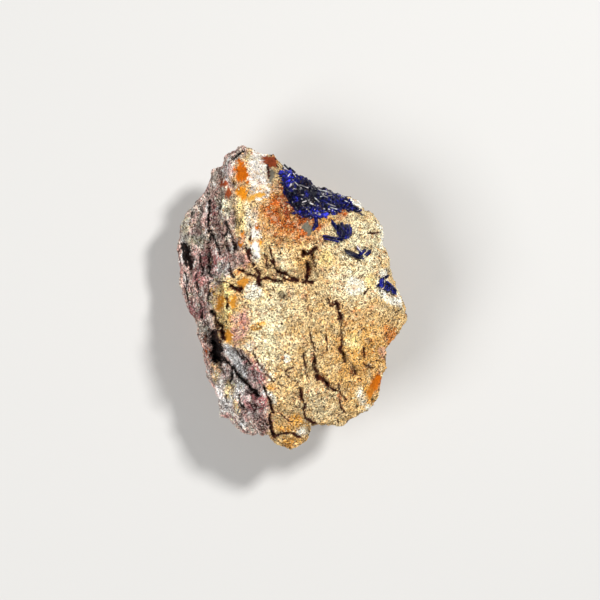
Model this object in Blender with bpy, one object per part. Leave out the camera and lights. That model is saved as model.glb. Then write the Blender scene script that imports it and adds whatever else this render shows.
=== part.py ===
"""Azurite on its matrix: a broken lump of iron-stained sandstone that lies on its back,
with a crust of deep blue crystal blades in a hollow of one shoulder and a few loose groups
of blades on its face.

X runs across the face, Y up the face and Z out of it. The origin is on the flat that the
lump rests on. Shapes are worked out in millimetres and written in metres.
"""

import math

import bmesh
import bpy
import numpy as np
from mathutils import Matrix, Vector
from mathutils.bvhtree import BVHTree

MM = 0.001

# ---------------------------------------------------------------- driving dimensions, mm

FACE_HEIGHT = 33.0  # of the face above the rest, at its middle
GAP = 0.3  # left between the crystals and the matrix that they grow on
ROCK_GRID = 52  # squares along each side of the grid that wraps the lump
CRUST_THICKNESS = 1.1

# The lump's outline seen from above: angle from +X in degrees, and distance from the origin.
OUTLINE = (
    (0, 29.0), (6, 27.2), (14, 26.0), (24, 27.7), (31, 27.8), (39, 30.3), (45, 30.8),
    (51, 30.4), (55, 31.0), (63, 30.0), (69, 29.6), (77, 30.0), (84, 31.6), (92, 34.2),
    (94, 34.6), (98, 38.0), (104, 40.2), (108, 42.1), (112, 42.8), (116, 40.4),
    (121, 39.6), (129, 35.6), (133, 36.3), (141, 35.6), (151, 34.0), (155, 32.8),
    (163, 30.6), (171, 29.8), (180, 27.9), (190, 26.2), (199, 26.3), (209, 26.8),
    (219, 28.5), (230, 31.6), (235, 32.8), (239, 35.5), (248, 36.9), (253, 36.9),
    (259, 35.3), (266, 38.8), (270, 40.2), (276, 39.1), (279, 33.5), (285, 33.0),
    (292, 35.2), (300, 34.4), (308, 35.1), (312, 34.3), (319, 31.7), (332, 27.7),
    (338, 28.2), (344, 29.0), (351, 30.1),
)

# Height of the widest girth, and how far out the foot stands there, by angle.
GIRTH = (
    (0, 25.0), (40, 22.0), (75, 18.0), (95, 20.0), (112, 22.0), (135, 15.0), (180, 13.0),
    (215, 13.0), (250, 18.0), (275, 24.0), (300, 25.0), (330, 26.0),
)
FOOT = (
    (0, 0.90), (30, 0.97), (62, 0.93), (90, 0.90), (112, 0.86), (140, 0.96), (180, 0.98),
    (225, 0.95), (262, 0.86), (285, 0.96), (310, 0.94), (340, 0.97),
)

# The left edge of the tan face, from the foot of the lump to its top: Y, then X.
FACE_EDGE = (
    (-40.0, -5.8), (-34.9, -5.8), (-32.8, -6.3), (-26.2, -7.9), (-22.3, -6.8),
    (-18.4, -8.9), (-13.1, -12.8), (-11.8, -17.6), (-9.2, -19.5), (-5.2, -18.4),
    (3.9, -17.6), (6.6, -14.7), (10.0, -11.8), (17.0, -13.6), (26.2, -14.7),
    (34.1, -14.0), (38.8, -11.0), (44.0, -9.5),
)
# How the flank falls away to the left of that edge: Y, the step at the edge, the slope after it.
FLANK_FALL = (
    (-40.0, 3.0, 0.45), (-20.0, 3.5, 0.55), (-12.5, 3.0, 0.9), (-9.0, 1.2, 1.6),
    (2.0, 0.8, 1.5), (12.0, 1.0, 1.05), (25.0, 0.6, 1.0), (34.0, 0.4, 1.1), (44.0, 0.2, 1.3),
)

# Flats that the face broke along: a point on each, the azimuth that it faces, and its slope.
FACE_FLATS = (
    (2.0, -8.0, 33.0, -60, 3), (6.0, 12.0, 33.0, 70, 7), (17.0, -2.0, 32.4, -5, 15),
    (21.0, 8.0, 31.2, 28, 22), (13.0, -24.0, 31.0, -48, 20), (20.0, -17.0, 30.6, -22, 26),
    (-3.0, -27.0, 31.6, -105, 15), (9.0, 27.0, 31.0, 62, 32), (-7.0, 32.0, 31.2, 84, 10),
    (-9.0, 21.0, 32.0, 172, 9), (-10.0, -20.0, 31.8, 200, 12),
)
FACE_SOFTENING = 0.35  # of the edges between those flats

# Broad lumps (+) and dishes (-) of the face: X, Y, radius in X, radius in Y, turn, height.
SWELLS = (
    (-25.3, 17.5, 4.6, 9.5, -12, 4.2),  # the rounded shoulder at the left
    (-18.0, 8.0, 4.5, 13.0, 4, 1.5),  # the long rib beside it
    (-25.0, 1.0, 4.0, 7.0, 8, 2.2),  # the knob under the shoulder
    (-11.5, -27.0, 6.0, 7.0, 20, 1.4),  # the low block at the lower left
    (-15.0, -1.5, 5.0, 6.5, 10, 1.3),  # the ochre knob on the face's edge
    (-11.5, -8.0, 4.0, 4.5, 0, 1.0),
    (-7.5, 33.0, 3.5, 6.5, 10, 1.3),  # the white cap
    (-3.0, 21.5, 7.5, 7.0, 0, -1.5),  # the rusty dish beside the crystals
    (-1.0, 11.5, 8.0, 4.0, -6, 1.8),  # the lip over the long crack
    (18.0, 22.0, 6.5, 5.0, 20, 1.2),
    (15.5, 7.0, 7.5, 6.5, 0, 0.7),
    (25.5, -4.5, 4.5, 4.0, 0, 1.0),  # the right-hand corner
    (8.0, -14.0, 9.0, 12.0, 8, 1.0),
    (4.5, 1.5, 3.0, 7.0, 10, -0.6),
    (20.0, -24.0, 6.0, 7.0, 25, -1.8),
    (0.5, -37.0, 6.5, 3.5, 0, -4.0),  # the nub at the foot stands back
    (5.5, 31.0, 5.8, 4.6, -20, -3.4),  # the hollow that the crystals line
    (15.0, 27.5, 7.0, 3.2, -28, -1.8),
)

# Clefts: width and depth, then their way across the face.
CLEFTS = (
    (2.2, 6.0, ((-28.2, 14.6), (-27.8, 12.0), (-27.3, 9.3))),
    (1.9, 3.2, ((-22.6, 27.0), (-21.6, 22.0), (-20.4, 17.5), (-21.0, 13.0), (-22.5, 8.0))),
    (1.7, 2.2, ((-17.2, 18.5), (-16.4, 14.0), (-14.6, 10.5), (-12.4, 8.0), (-10.2, 6.2))),
    (2.7, 7.0, ((-22.6, -6.5), (-21.6, -9.5), (-20.6, -13.0), (-19.9, -16.0))),
    (1.8, 3.0, ((-19.9, -16.0), (-17.4, -18.8), (-14.6, -21.4), (-11.6, -23.6), (-8.6, -27.2))),
    (1.8, 2.2, ((-14.6, 8.2), (-12.4, 7.0), (-9.0, 6.4), (-5.4, 7.8), (-1.2, 6.2), (1.0, 5.9))),
    (1.5, 1.4, ((3.2, 14.2), (2.2, 10.6), (2.4, 8.4), (1.4, 6.4))),
    (1.4, 1.2, ((7.0, -0.2), (9.6, -4.4), (10.8, -8.6), (11.4, -13.8))),
    (1.5, 1.3, ((2.4, -13.0), (3.6, -18.2), (6.0, -20.8), (8.8, -24.6), (10.4, -30.0))),
    (1.6, 1.8, ((0.6, -24.6), (1.4, -27.6), (1.8, -30.6), (4.6, -33.0))),
    (1.8, 2.4, ((-6.4, -33.4), (-4.0, -34.0), (1.0, -34.6))),
)
FLANK_STEP = 2.6  # how far the step at the face's left edge takes to fall

# Flats that the sides broke along: the azimuth that each faces, how far it leans in towards
# the foot in degrees, and how deep it bites at the girth.
SIDE_FLATS = (
    (4, 3, 0.6), (26, 14, 0.2), (48, 4, 1.0), (72, 11, 0.4), (92, 16, 0.4), (108, 3, 1.6),
    (124, 13, 1.2), (146, -4, 1.2), (168, 9, 0.6), (190, -2, 0.6), (214, 6, 0.6),
    (236, -3, 1.6), (254, 9, 1.4), (272, 16, 2.2), (291, 0, 1.2), (309, 12, 1.2),
    (330, -4, 0.4), (348, 8, 0.8),
)
# Flats that broke off the rim between the face and the sides: azimuth, how far above the
# girth, how far in from the outline, and how steeply each faces up in degrees.
RIM_FLATS = (
    (2, 3.5, 0.4, 34), (24, 4.0, 0.8, 42), (47, 5.0, 0.8, 48), (66, 6.0, 0.6, 40),
    (104, 6.0, 1.2, 38), (122, 8.0, 0.8, 30), (300, 2.5, 0.8, 46), (318, 2.5, 0.4, 36),
    (341, 2.0, 0.2, 50), (280, 2.0, 1.0, 52),
)


# ---------------------------------------------------------------- the crystals, mm

# Each group: name, then its blades as X, Y, length, width, turn in degrees, tilt out of the
# face in degrees.
GROUPS = (
    ("azurite_fan", (
        (11.6, 18.9, 5.2, 1.5, -56, 10), (12.9, 17.6, 4.8, 1.1, -84, 16),
        (13.6, 17.5, 4.6, 1.2, -96, 20), (12.4, 16.9, 3.0, 1.0, -70, 6),
    )),
    ("azurite_lath", ((9.9, 16.0, 4.6, 1.6, -12, 6), (11.0, 16.0, 3.0, 1.0, -24, 16))),
    ("azurite_crossed_laths", (
        (15.9, 12.0, 5.2, 1.3, -21, 2), (16.8, 12.3, 3.8, 1.0, -50, -4),
        (17.6, 12.7, 2.8, 0.9, 44, 0),
    )),
    ("azurite_splinter", ((19.7, 12.2, 2.3, 0.9, 38, 10),)),
    ("azurite_rim_group", (
        (24.6, 6.0, 3.2, 1.4, 74, 8), (25.8, 4.7, 3.4, 1.4, -38, 18),
        (26.3, 3.8, 2.4, 1.2, 16, 34), (25.6, 4.9, 2.2, 1.1, -80, 40),
    )),
)

# The crust's edge seen from above, X and Y. Its top side hangs a little over the rim.
CRUST_EDGE = (
    (-3.2, 31.6), (-3.0, 33.4), (-0.8, 36.6), (2.2, 35.2), (4.8, 33.4), (8.0, 32.2),
    (11.4, 31.2), (14.6, 29.6), (16.6, 27.4), (19.0, 25.0), (20.4, 22.2), (18.3, 23.0),
    (15.6, 24.4), (13.5, 23.6), (11.9, 22.2), (9.2, 21.8), (6.6, 21.2), (3.3, 21.6),
    (0.7, 23.0), (-0.7, 25.4), (-1.6, 27.5), (-2.2, 29.4),
)
CRUST_BOTTOM = 19.0  # the crust hangs no lower than this
CRUST_BLADES = 64
BLADE_LENGTHS = (3.0, 5.6)
BLADE_WIDTHS = (1.1, 2.3)
BLADE_FLATNESS = 0.45  # thickness over width
BLADE_ROOT = 1.5  # how deep a standing blade starts under the crust's skin
BLADE_LEANS = (8, 52)  # degrees from the crust's normal
BLADE_SEED = 11
# Blades that lie along the short vein under the crust and along its edges, in the same terms
# as the groups'.
CRUST_LATHS = (
    (6.4, 20.6, 4.4, 1.4, -80, 4), (6.0, 18.9, 3.6, 1.2, -106, 4), (8.4, 21.9, 3.6, 1.3, 12, 14),
    (11.0, 23.2, 3.4, 1.2, -18, 16), (17.2, 24.8, 3.4, 1.2, -36, 12), (19.2, 23.6, 2.6, 1.0, -48, 18),
    (20.6, 22.8, 2.8, 1.1, -52, 16),
    (3.2, 22.2, 3.2, 1.2, -20, 18), (-0.4, 35.0, 3.0, 1.2, 66, 26), (1.4, 34.2, 2.8, 1.2, 38, 30),
)


def clear_scene():
    for obj in list(bpy.data.objects):
        bpy.data.objects.remove(obj)


def collection(name, parent=None):
    made = bpy.data.collections.new(name)
    (parent or bpy.context.scene.collection).children.link(made)
    return made


def material(name, colour, roughness):
    made = bpy.data.materials.new(name)
    made.use_nodes = True
    shader = made.node_tree.nodes["Principled BSDF"]
    shader.inputs["Base Color"].default_value = (*colour, 1.0)
    shader.inputs["Roughness"].default_value = roughness
    made.diffuse_color = (*colour, 1.0)
    return made


# ---------------------------------------------------------------- noise


def scatter(cells, salt):
    """A number from 0 to 1 for each row of whole numbers, by mixing their bits."""
    bits = cells.astype(np.int64).astype(np.uint32)
    mixed = bits[..., 0] * np.uint32(73856093)
    mixed ^= bits[..., 1] * np.uint32(19349663)
    mixed ^= bits[..., 2] * np.uint32(83492791)
    mixed ^= np.uint32(salt * 2654435761 % 2**32)
    mixed = (mixed ^ (mixed >> np.uint32(15))) * np.uint32(2246822519)
    mixed = (mixed ^ (mixed >> np.uint32(13))) * np.uint32(3266489917)
    return (mixed ^ (mixed >> np.uint32(16))) / 4294967295.0


def smooth_noise(points, size, salt=0):
    """Smooth noise from -1 to 1 whose bumps are about size across: random slopes at the
    corners of a cubic lattice, blended between them."""
    scaled = points / size
    base = np.floor(scaled)
    part = scaled - base
    blend = part**3 * (part * (part * 6 - 15) + 10)
    total = np.zeros(points.shape[:-1])
    for corner in np.ndindex(2, 2, 2):
        at = base + corner
        slope = np.stack([scatter(at, salt + k) for k in (1, 2, 3)], -1) * 2 - 1
        weight = np.prod(np.where(corner, blend, 1 - blend), -1)
        total += weight * (slope * (part - corner)).sum(-1)
    return total * 1.6


def by_angle(table, angle):
    """A value read round the lump from a table of (degrees, value)."""
    degrees, values = np.array(table, float).T
    return np.interp(np.degrees(angle) % 360, degrees, values, period=360)


# ---------------------------------------------------------------- the lump's skin


def oval(x, y, shape):
    """1 at the middle of a turned oval, falling smoothly to 0 a little past its edge."""
    cx, cy, rx, ry, turn = shape
    c, s = math.cos(math.radians(turn)), math.sin(math.radians(turn))
    u = ((x - cx) * c + (y - cy) * s) / rx
    v = ((y - cy) * c - (x - cx) * s) / ry
    return np.exp(-((u * u + v * v) ** 1.5))


def distance_to_line(x, y, line):
    """Distance in the XY plane from each point to a line through the given points."""
    nearest = np.full(x.shape, np.inf)
    for (ax, ay), (bx, by) in zip(line, line[1:]):
        dx, dy = bx - ax, by - ay
        along = np.clip(((x - ax) * dx + (y - ay) * dy) / (dx * dx + dy * dy), 0, 1)
        nearest = np.minimum(nearest, np.hypot(x - ax - along * dx, y - ay - along * dy))
    return nearest


def face_flats(x, y):
    """The lowest of the face's flats at each point, with their edges a little rounded."""
    kept = np.zeros(x.shape)
    for px, py, pz, azimuth, slope in FACE_FLATS:
        turn, fall = math.radians(azimuth), math.tan(math.radians(slope))
        plane = pz - fall * ((x - px) * math.cos(turn) + (y - py) * math.sin(turn))
        kept = kept + np.exp(-(plane - FACE_HEIGHT) / FACE_SOFTENING)
    return FACE_HEIGHT - FACE_SOFTENING * np.log(kept)


def face_height(x, y):
    """Height of the lump's upper surface: its flats, the flank that falls away past the
    face's left edge, and the swells and clefts."""
    height = face_flats(x, y)
    edge = np.interp(y, *np.array(FACE_EDGE).T)
    rows, steps, slopes = np.array(FLANK_FALL).T
    past = np.maximum(0, edge - x)
    height -= np.interp(y, rows, steps) * np.clip(past / FLANK_STEP, 0, 1)
    height -= np.interp(y, rows, slopes) * past
    for cx, cy, rx, ry, turn, rise in SWELLS:
        height += rise * oval(x, y, (cx, cy, rx, ry, turn))
    flat = np.stack([x, y, np.zeros_like(x)], -1)
    bent_x, bent_y = x + 0.9 * smooth_noise(flat, 4.0, 31), y + 0.9 * smooth_noise(flat, 4.0, 37)
    for width, depth, line in CLEFTS:
        height -= depth * np.exp(-((distance_to_line(bent_x, bent_y, line) / width) ** 2))
    return height


def profile(steps=400):
    """The way from the middle of the face, over the rim, down to the foot: at even steps of
    its length, the share of the outline reached, the share of the face's height left, and
    the share of the side gone down."""
    face_part = np.linspace(0, 1, steps)
    face_rise = (1 - face_part**5) ** 0.2
    side_part = np.linspace(0, 1, steps)[1:]
    across = np.concatenate([face_part * 34, 34 - 7 * side_part**2])
    down = np.concatenate([face_rise * 9 - 9, -9 - 25 * side_part])
    length = np.concatenate([[0], np.cumsum(np.hypot(np.diff(across), np.diff(down)))])
    return (
        length / length[-1],
        np.concatenate([face_part, np.ones(steps - 1)]),
        np.concatenate([face_rise, np.zeros(steps - 1)]),
        np.concatenate([np.zeros(steps), side_part]),
    )


def wrap(a, b):
    """Carries the square grid (a, b), each from -1 to 1, over the lump. Rings of the square
    become rings round the lump, from the middle of the face to the foot. Gives the points
    and how far down the side each one is."""
    wide = np.abs(a) >= np.abs(b)
    ring = np.where(wide, a, b)
    safe = np.where(ring == 0, 1, ring)
    turn = math.pi / 4 * np.where(wide, b, a) / safe
    turn = np.where(wide, turn, math.pi / 2 - turn)
    angle = np.arctan2(ring * np.sin(turn), ring * np.cos(turn))
    along, share, rise, side = profile()
    part = np.abs(ring)
    share = np.interp(part, along, share)
    rise = np.interp(part, along, rise)
    side = np.interp(part, along, side)
    girth, foot = by_angle(GIRTH, angle), by_angle(FOOT, angle)
    reach = by_angle(OUTLINE, angle) * share * (1 - (1 - foot) * side**2)
    x, y = reach * np.cos(angle), reach * np.sin(angle)
    top = np.maximum(face_height(x, y), girth + 1)
    z = np.where(side > 0, girth * (1 - side), girth + (top - girth) * rise)
    return np.stack([x, y, z], -1), side


def cut_to_plane(points, azimuth, rise, inset, tilt, share=1.0):
    """Moves what lies past a plane back to it. The plane faces the azimuth and tilts up from
    it, and it passes rise above the girth and inset from the outline."""
    turn, tilt = math.radians(azimuth), math.radians(tilt)
    facing = np.array([math.cos(turn) * math.cos(tilt), math.sin(turn) * math.cos(tilt),
                       math.sin(tilt)])
    reach = by_angle(OUTLINE, turn) - inset
    start = np.array([reach * math.cos(turn), reach * math.sin(turn), by_angle(GIRTH, turn) + rise])
    past = np.maximum(0, (points - start) @ facing) * share
    return points - past[..., None] * facing


def chip(points, side):
    """Cuts the sides and the rim back to their flats."""
    for azimuth, lean, bite in SIDE_FLATS:
        points = cut_to_plane(points, azimuth, 0, bite, -lean, np.clip(side * 2.5, 0, 1))
    for azimuth, rise, inset, tilt in RIM_FLATS:
        points = cut_to_plane(points, azimuth, rise, inset, tilt)
    return points


def grid_normals(points):
    """The outward normal at each point of a wrapped grid, from its neighbours."""
    along_a, along_b = np.gradient(points, axis=0), np.gradient(points, axis=1)
    facing = np.cross(along_a, along_b)
    return facing / np.maximum(np.linalg.norm(facing, axis=-1, keepdims=True), 1e-9)


def craggy(points, side):
    """How far the coarse roughness of the stone moves each point along its normal: gentle on
    the face, stronger down the sides, with wavy ribs along the flank."""
    flank = np.clip((-13 - points[..., 0]) / 4, 0, 1)
    sheared = points * np.array([1.0, 0.3, 1.0])
    broad = 0.9 * smooth_noise(points, 15.0, 5) + 0.6 * smooth_noise(points, 7.0, 9)
    ribs = 0.5 - np.abs(smooth_noise(sheared, 5.5, 14)) * 2
    return broad * (0.6 + 1.0 * np.clip(side * 3, 0, 1)) + flank * ribs * 1.3


def skin(a, b, lift=0.0):
    """The lump's surface at (a, b) on the square grid, lifted along its normals."""
    points, side = wrap(a, b)
    points = chip(points, side)
    normals = grid_normals(points)
    settle = np.clip(points[..., 2] / 3, 0, 1)
    moved = points + normals * (craggy(points, side) * settle + lift)[..., None]
    foot_ring = side >= 0.9999
    moved[..., 2] = np.where(foot_ring, -lift, np.maximum(moved[..., 2], 0.2 - lift))
    return moved


def mesh_of_grid(name, lift=0.0):
    """A grid primitive wrapped over the lump and closed flat under its foot."""
    bm = bmesh.new()
    bmesh.ops.create_grid(bm, x_segments=ROCK_GRID, y_segments=ROCK_GRID, size=1)
    count = ROCK_GRID + 1
    corners = sorted(bm.verts, key=lambda v: (round(v.co.x, 5), round(v.co.y, 5)))
    a, b = np.meshgrid(np.linspace(-1, 1, count), np.linspace(-1, 1, count), indexing="ij")
    for vertex, place in zip(corners, skin(a, b, lift).reshape(-1, 3)):
        vertex.co = Vector(place) * MM
    rim = [edge for edge in bm.edges if edge.is_boundary]
    bmesh.ops.contextual_create(bm, geom=rim)
    return closed_mesh(bm, name)


# ---------------------------------------------------------------- crystals


def add_blade(bm, length, width, place):
    """Adds one crystal: a flattened prism of six sides with a chisel edge at each end. It is
    built along Z about its middle and then placed by a matrix."""
    ring = bmesh.ops.create_cone(
        bm, cap_ends=True, segments=6, radius1=0.5, radius2=0.5, depth=1,
        matrix=Matrix.Rotation(math.pi / 6, 4, "Z"),
    )["verts"]
    for vertex in ring:
        x, y, z = vertex.co
        bevel = 0.9 * abs(x) * width
        height = math.copysign(length / 2 - bevel, z)
        vertex.co = Vector((x * width, y * width * BLADE_FLATNESS * 1.15, height))
    for end in (-1, 1):
        ridge = [v for v in ring if abs(v.co.x) < width * 0.01 and v.co.z * end > 0]
        bmesh.ops.connect_verts(bm, verts=ridge)
    for vertex in ring:
        vertex.co = place @ vertex.co * MM


def skin_finder(tree):
    """A function that gives the skin's point and normal under (x, y), in millimetres. Past
    the rim it steps in towards the origin until there is skin below."""
    def find(x, y):
        inward = Vector((-x, -y, 0)).normalized() * 0.3
        start = Vector((x, y, 90))
        for _ in range(40):
            point, normal, _, _ = tree.ray_cast(start * MM, Vector((0, 0, -1)))
            if point and normal.z > 0.25:
                break
            start += inward
        return point / MM, normal
    return find


def lying(find, x, y, length, turn, tilt):
    """The place of a blade that lies on the skin: its middle over (x, y), pointing along
    turn, with its far end tilted up."""
    point, normal = find(x, y)
    heading = Vector((math.cos(math.radians(turn)), math.sin(math.radians(turn)), 0))
    heading = (heading - normal * heading.dot(normal)).normalized()
    across = normal.cross(heading)
    heading = Matrix.Rotation(-math.radians(tilt), 3, across) @ heading
    up = heading.cross(across)
    raised = point + normal * (0.2 + 0.25 * length * math.sin(math.radians(tilt)))
    return Matrix.Translation(raised) @ Matrix((across, up, heading)).transposed().to_4x4()


def standing(point, normal, rng, length):
    """The place of a blade that stands in the crust, leaning at random about the normal."""
    sideways = normal.cross(Vector(rng.normal(size=3))).normalized()
    lean = math.radians(rng.uniform(*BLADE_LEANS))
    heading = Matrix.Rotation(lean, 3, sideways) @ normal
    across = heading.cross(Vector(rng.normal(size=3))).normalized()
    middle = point + heading * (length / 2 - BLADE_ROOT)
    axes = Matrix((across, heading.cross(across), heading)).transposed()
    return Matrix.Translation(middle) @ axes.to_4x4()


def inside(x, y, edge):
    """Whether (x, y) is inside a closed outline, by counting the edges to its right."""
    crossed = False
    for (ax, ay), (bx, by) in zip(edge, edge[1:] + edge[:1]):
        if (ay > y) != (by > y) and x < ax + (y - ay) / (by - ay) * (bx - ax):
            crossed = not crossed
    return crossed


def mesh_of_laths(name, find, laths):
    bm = bmesh.new()
    for x, y, length, width, turn, tilt in laths:
        add_blade(bm, length, width, lying(find, x, y, length, turn, tilt))
    return closed_mesh(bm, name)


def mesh_of_crust_blades(skin_mesh, find):
    """The crust's standing blades, scattered over the skin inside its edge, and those that
    lie along its vein."""
    rng = np.random.default_rng(BLADE_SEED)
    faces = [
        face for face in skin_mesh.polygons
        if face.center.z > (CRUST_BOTTOM + 1) * MM
        and inside(face.center.x / MM, face.center.y / MM, CRUST_EDGE)
    ]
    areas = np.array([face.area for face in faces])
    bm = bmesh.new()
    for index in rng.choice(len(faces), CRUST_BLADES, p=areas / areas.sum()):
        face = faces[index]
        length, width = rng.uniform(*BLADE_LENGTHS), rng.uniform(*BLADE_WIDTHS)
        place = standing(face.center / MM, face.normal, rng, length)
        add_blade(bm, length, width, place)
    for x, y, length, width, turn, tilt in CRUST_LATHS:
        add_blade(bm, length, width, lying(find, x, y, length, turn, tilt))
    return closed_mesh(bm, "crust_blades")


def mesh_of_column(name, edge, low, high):
    """An upright column with the given outline, from low to high."""
    bm = bmesh.new()
    corners = [bm.verts.new(Vector((x, y, low)) * MM) for x, y in edge]
    base = bm.faces.new(corners)
    raised = bmesh.ops.extrude_face_region(bm, geom=[base])["geom"]
    upper = [item for item in raised if isinstance(item, bmesh.types.BMVert)]
    bmesh.ops.translate(bm, verts=upper, vec=Vector((0, 0, high - low)) * MM)
    return closed_mesh(bm, name)


def closed_mesh(bm, name):
    bmesh.ops.recalc_face_normals(bm, faces=bm.faces)
    mesh = bpy.data.meshes.new(name)
    bm.to_mesh(mesh)
    bm.free()
    return mesh


# ---------------------------------------------------------------- objects


def add(name, mesh, group, finish=None):
    obj = bpy.data.objects.new(name, mesh)
    group.objects.link(obj)
    if finish:
        mesh.materials.append(finish)
    return obj


def add_cutter(name, mesh, group):
    obj = add(name, mesh, group)
    obj.hide_render = True
    obj.display_type = "WIRE"
    return obj


def join(obj, other, operation):
    """Unites an object with another, cuts it by the other or keeps what they share."""
    change = obj.modifiers.new(other.name, "BOOLEAN")
    change.operation = operation
    change.solver = "EXACT"
    change.use_self = operation == "UNION"
    change.object = other


def main():
    clear_scene()
    parts = collection("azurite_specimen")
    cutters = collection("cutters")
    stone = material("iron_stained_sandstone", (0.58, 0.42, 0.24), 0.9)
    azurite = material("azurite", (0.012, 0.016, 0.2), 0.15)

    add("matrix", mesh_of_grid("matrix"), parts, stone)
    clearance = add_cutter("matrix_clearance", mesh_of_grid("matrix_clearance", GAP), cutters)
    tree = BVHTree.FromPolygons(
        [v.co for v in clearance.data.vertices], [p.vertices for p in clearance.data.polygons]
    )
    find = skin_finder(tree)

    crust = add("azurite_crust", mesh_of_grid("azurite_crust", GAP + CRUST_THICKNESS), parts, azurite)
    column = mesh_of_column("crust_column", CRUST_EDGE, CRUST_BOTTOM, 60)
    crust_blades = mesh_of_crust_blades(clearance.data, find)
    join(crust, add_cutter("crust_column", column, cutters), "INTERSECT")
    join(crust, add_cutter("crust_blades", crust_blades, cutters), "UNION")
    join(crust, clearance, "DIFFERENCE")

    for name, laths in GROUPS:
        group = add(name, mesh_of_laths(name, find, laths), parts, azurite)
        core = add_cutter(name + "_core", mesh_of_laths(name + "_core", find, laths[:1]), cutters)
        join(group, core, "UNION")
        join(group, clearance, "DIFFERENCE")


main()
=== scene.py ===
import math

import bpy
import numpy as np
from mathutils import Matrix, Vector


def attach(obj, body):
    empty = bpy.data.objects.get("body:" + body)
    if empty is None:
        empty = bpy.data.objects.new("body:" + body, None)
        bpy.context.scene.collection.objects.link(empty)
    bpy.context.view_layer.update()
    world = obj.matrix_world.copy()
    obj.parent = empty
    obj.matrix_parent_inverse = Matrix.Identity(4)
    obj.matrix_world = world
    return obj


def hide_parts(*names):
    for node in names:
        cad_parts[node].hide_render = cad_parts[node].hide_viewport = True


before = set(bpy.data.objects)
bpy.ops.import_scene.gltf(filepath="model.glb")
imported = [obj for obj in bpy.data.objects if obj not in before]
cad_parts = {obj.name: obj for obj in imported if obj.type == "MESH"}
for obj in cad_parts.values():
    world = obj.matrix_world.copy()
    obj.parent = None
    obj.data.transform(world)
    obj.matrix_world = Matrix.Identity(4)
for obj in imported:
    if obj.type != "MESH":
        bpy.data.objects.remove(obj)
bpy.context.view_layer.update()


# ---------------------------------------------------------------- the matrix
# A broken lump that lies on its back. Its face is coarse sandstone, cemented and stained by
# iron in rusty, ochre and white patches. Its left flank was sheared into a pinkish grey and
# purple schist, whose wavy upright layers have opened in crevices.

MM = 0.001
FACE_HEIGHT = 33.0
# The square grid's rings are spaced by a lump of these mean sizes: how far its face reaches
# and rises, how far the girth is above the foot, and how far the foot is tucked in. The face
# is divided more finely than the sides by FACE_SHARE, and its rim is rounded by RIM_POWER.
FACE_REACH, FACE_RISE, GIRTH_DROP, FOOT_TUCK = 34, 9, 25, 7
FACE_SHARE, RIM_POWER = 1.7, 5

# Outline of the lump from above: degrees from +X, distance from the origin.
OUTLINE = (
    (0, 29.0), (6, 27.2), (14, 26.0), (24, 27.7), (31, 27.8), (39, 30.3), (45, 30.8),
    (51, 30.4), (55, 31.0), (63, 30.0), (69, 29.6), (77, 30.0), (84, 31.6), (92, 34.2),
    (94, 34.6), (98, 38.0), (104, 40.2), (108, 42.1), (112, 42.8), (116, 40.4),
    (121, 39.6), (129, 35.6), (133, 36.3), (141, 35.6), (151, 34.0), (155, 32.8),
    (163, 30.6), (171, 29.8), (180, 27.9), (190, 26.2), (199, 26.3), (209, 26.8),
    (219, 28.5), (230, 31.6), (235, 32.8), (239, 35.5), (248, 36.9), (253, 36.9),
    (259, 35.3), (266, 38.8), (270, 40.2), (276, 39.1), (279, 33.5), (285, 33.0),
    (292, 35.2), (300, 34.4), (308, 35.1), (312, 34.3), (319, 31.7), (332, 27.7),
    (338, 28.2), (344, 29.0), (351, 30.1),
)
# Height of the widest girth, and the share of the outline that the foot keeps.
GIRTH = (
    (0, 25.0), (40, 22.0), (75, 18.0), (95, 20.0), (112, 22.0), (135, 15.0), (180, 13.0),
    (215, 13.0), (250, 18.0), (275, 24.0), (300, 25.0), (330, 26.0),
)
FOOT = (
    (0, 0.90), (30, 0.97), (62, 0.93), (90, 0.90), (112, 0.86), (140, 0.96), (180, 0.98),
    (225, 0.95), (262, 0.86), (285, 0.96), (310, 0.94), (340, 0.97),
)
# The left edge of the tan face (Y, X), and how the flank falls past it (Y, step, slope). The
# step is spread over FLANK_STEP.
FACE_EDGE = (
    (-40.0, -5.8), (-34.9, -5.8), (-32.8, -6.3), (-26.2, -7.9), (-22.3, -6.8),
    (-18.4, -8.9), (-13.1, -12.8), (-11.8, -17.6), (-9.2, -19.5), (-5.2, -19.4),
    (3.9, -18.8), (6.6, -15.2), (10.0, -11.8), (17.0, -13.6), (26.2, -14.7),
    (34.1, -14.8), (38.8, -12.0), (44.0, -9.5),
)
FLANK_FALL = (
    (-40.0, 3.0, 0.45), (-20.0, 3.5, 0.55), (-12.5, 3.0, 0.9), (-9.0, 1.2, 1.6),
    (2.0, 0.8, 1.5), (12.0, 1.0, 1.05), (25.0, 0.6, 1.0), (34.0, 0.4, 1.1), (44.0, 0.2, 1.3),
)
FLANK_STEP = 2.0
# How far the flank's schist laps onto the face near its foot, at some values of Y.
FLANK_LAP = ((-36, -30, -26, -22, -16, -11), (0.6, 1.6, 2.6, 1.6, 1.4, 0.4))
# How far the flank's layers bend off upright, at some values of Y.
LAYER_BEND = ((-40, -24, -12, 5, 45), (-24, -14, -2.6, 0.0, 4.0))
# Layers of noise (height, size, salt) that fray the face's edge, sway the flank's layers, and
# make the crags of the whole lump and the hackly breaks of its sandy part.
EDGE_FRAY = ((1.5, 4.6, 35), (0.8, 1.7, 39))
LAYER_SWAY = ((1.1, 7.0, 55), (0.5, 3.0, 57))
CRAGS = ((0.9, 15.0, 5), (0.6, 7.0, 9))
HACKLY_BREAKS = ((0.75, 4.4, 61), (0.34, 2.1, 63))
# Small ledges: height, size, salt, and how soft their edges are.
SAND_LEDGES = ((0.16, 5.0, 64, 0.07), (0.12, 3.1, 66, 0.09))
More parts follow.
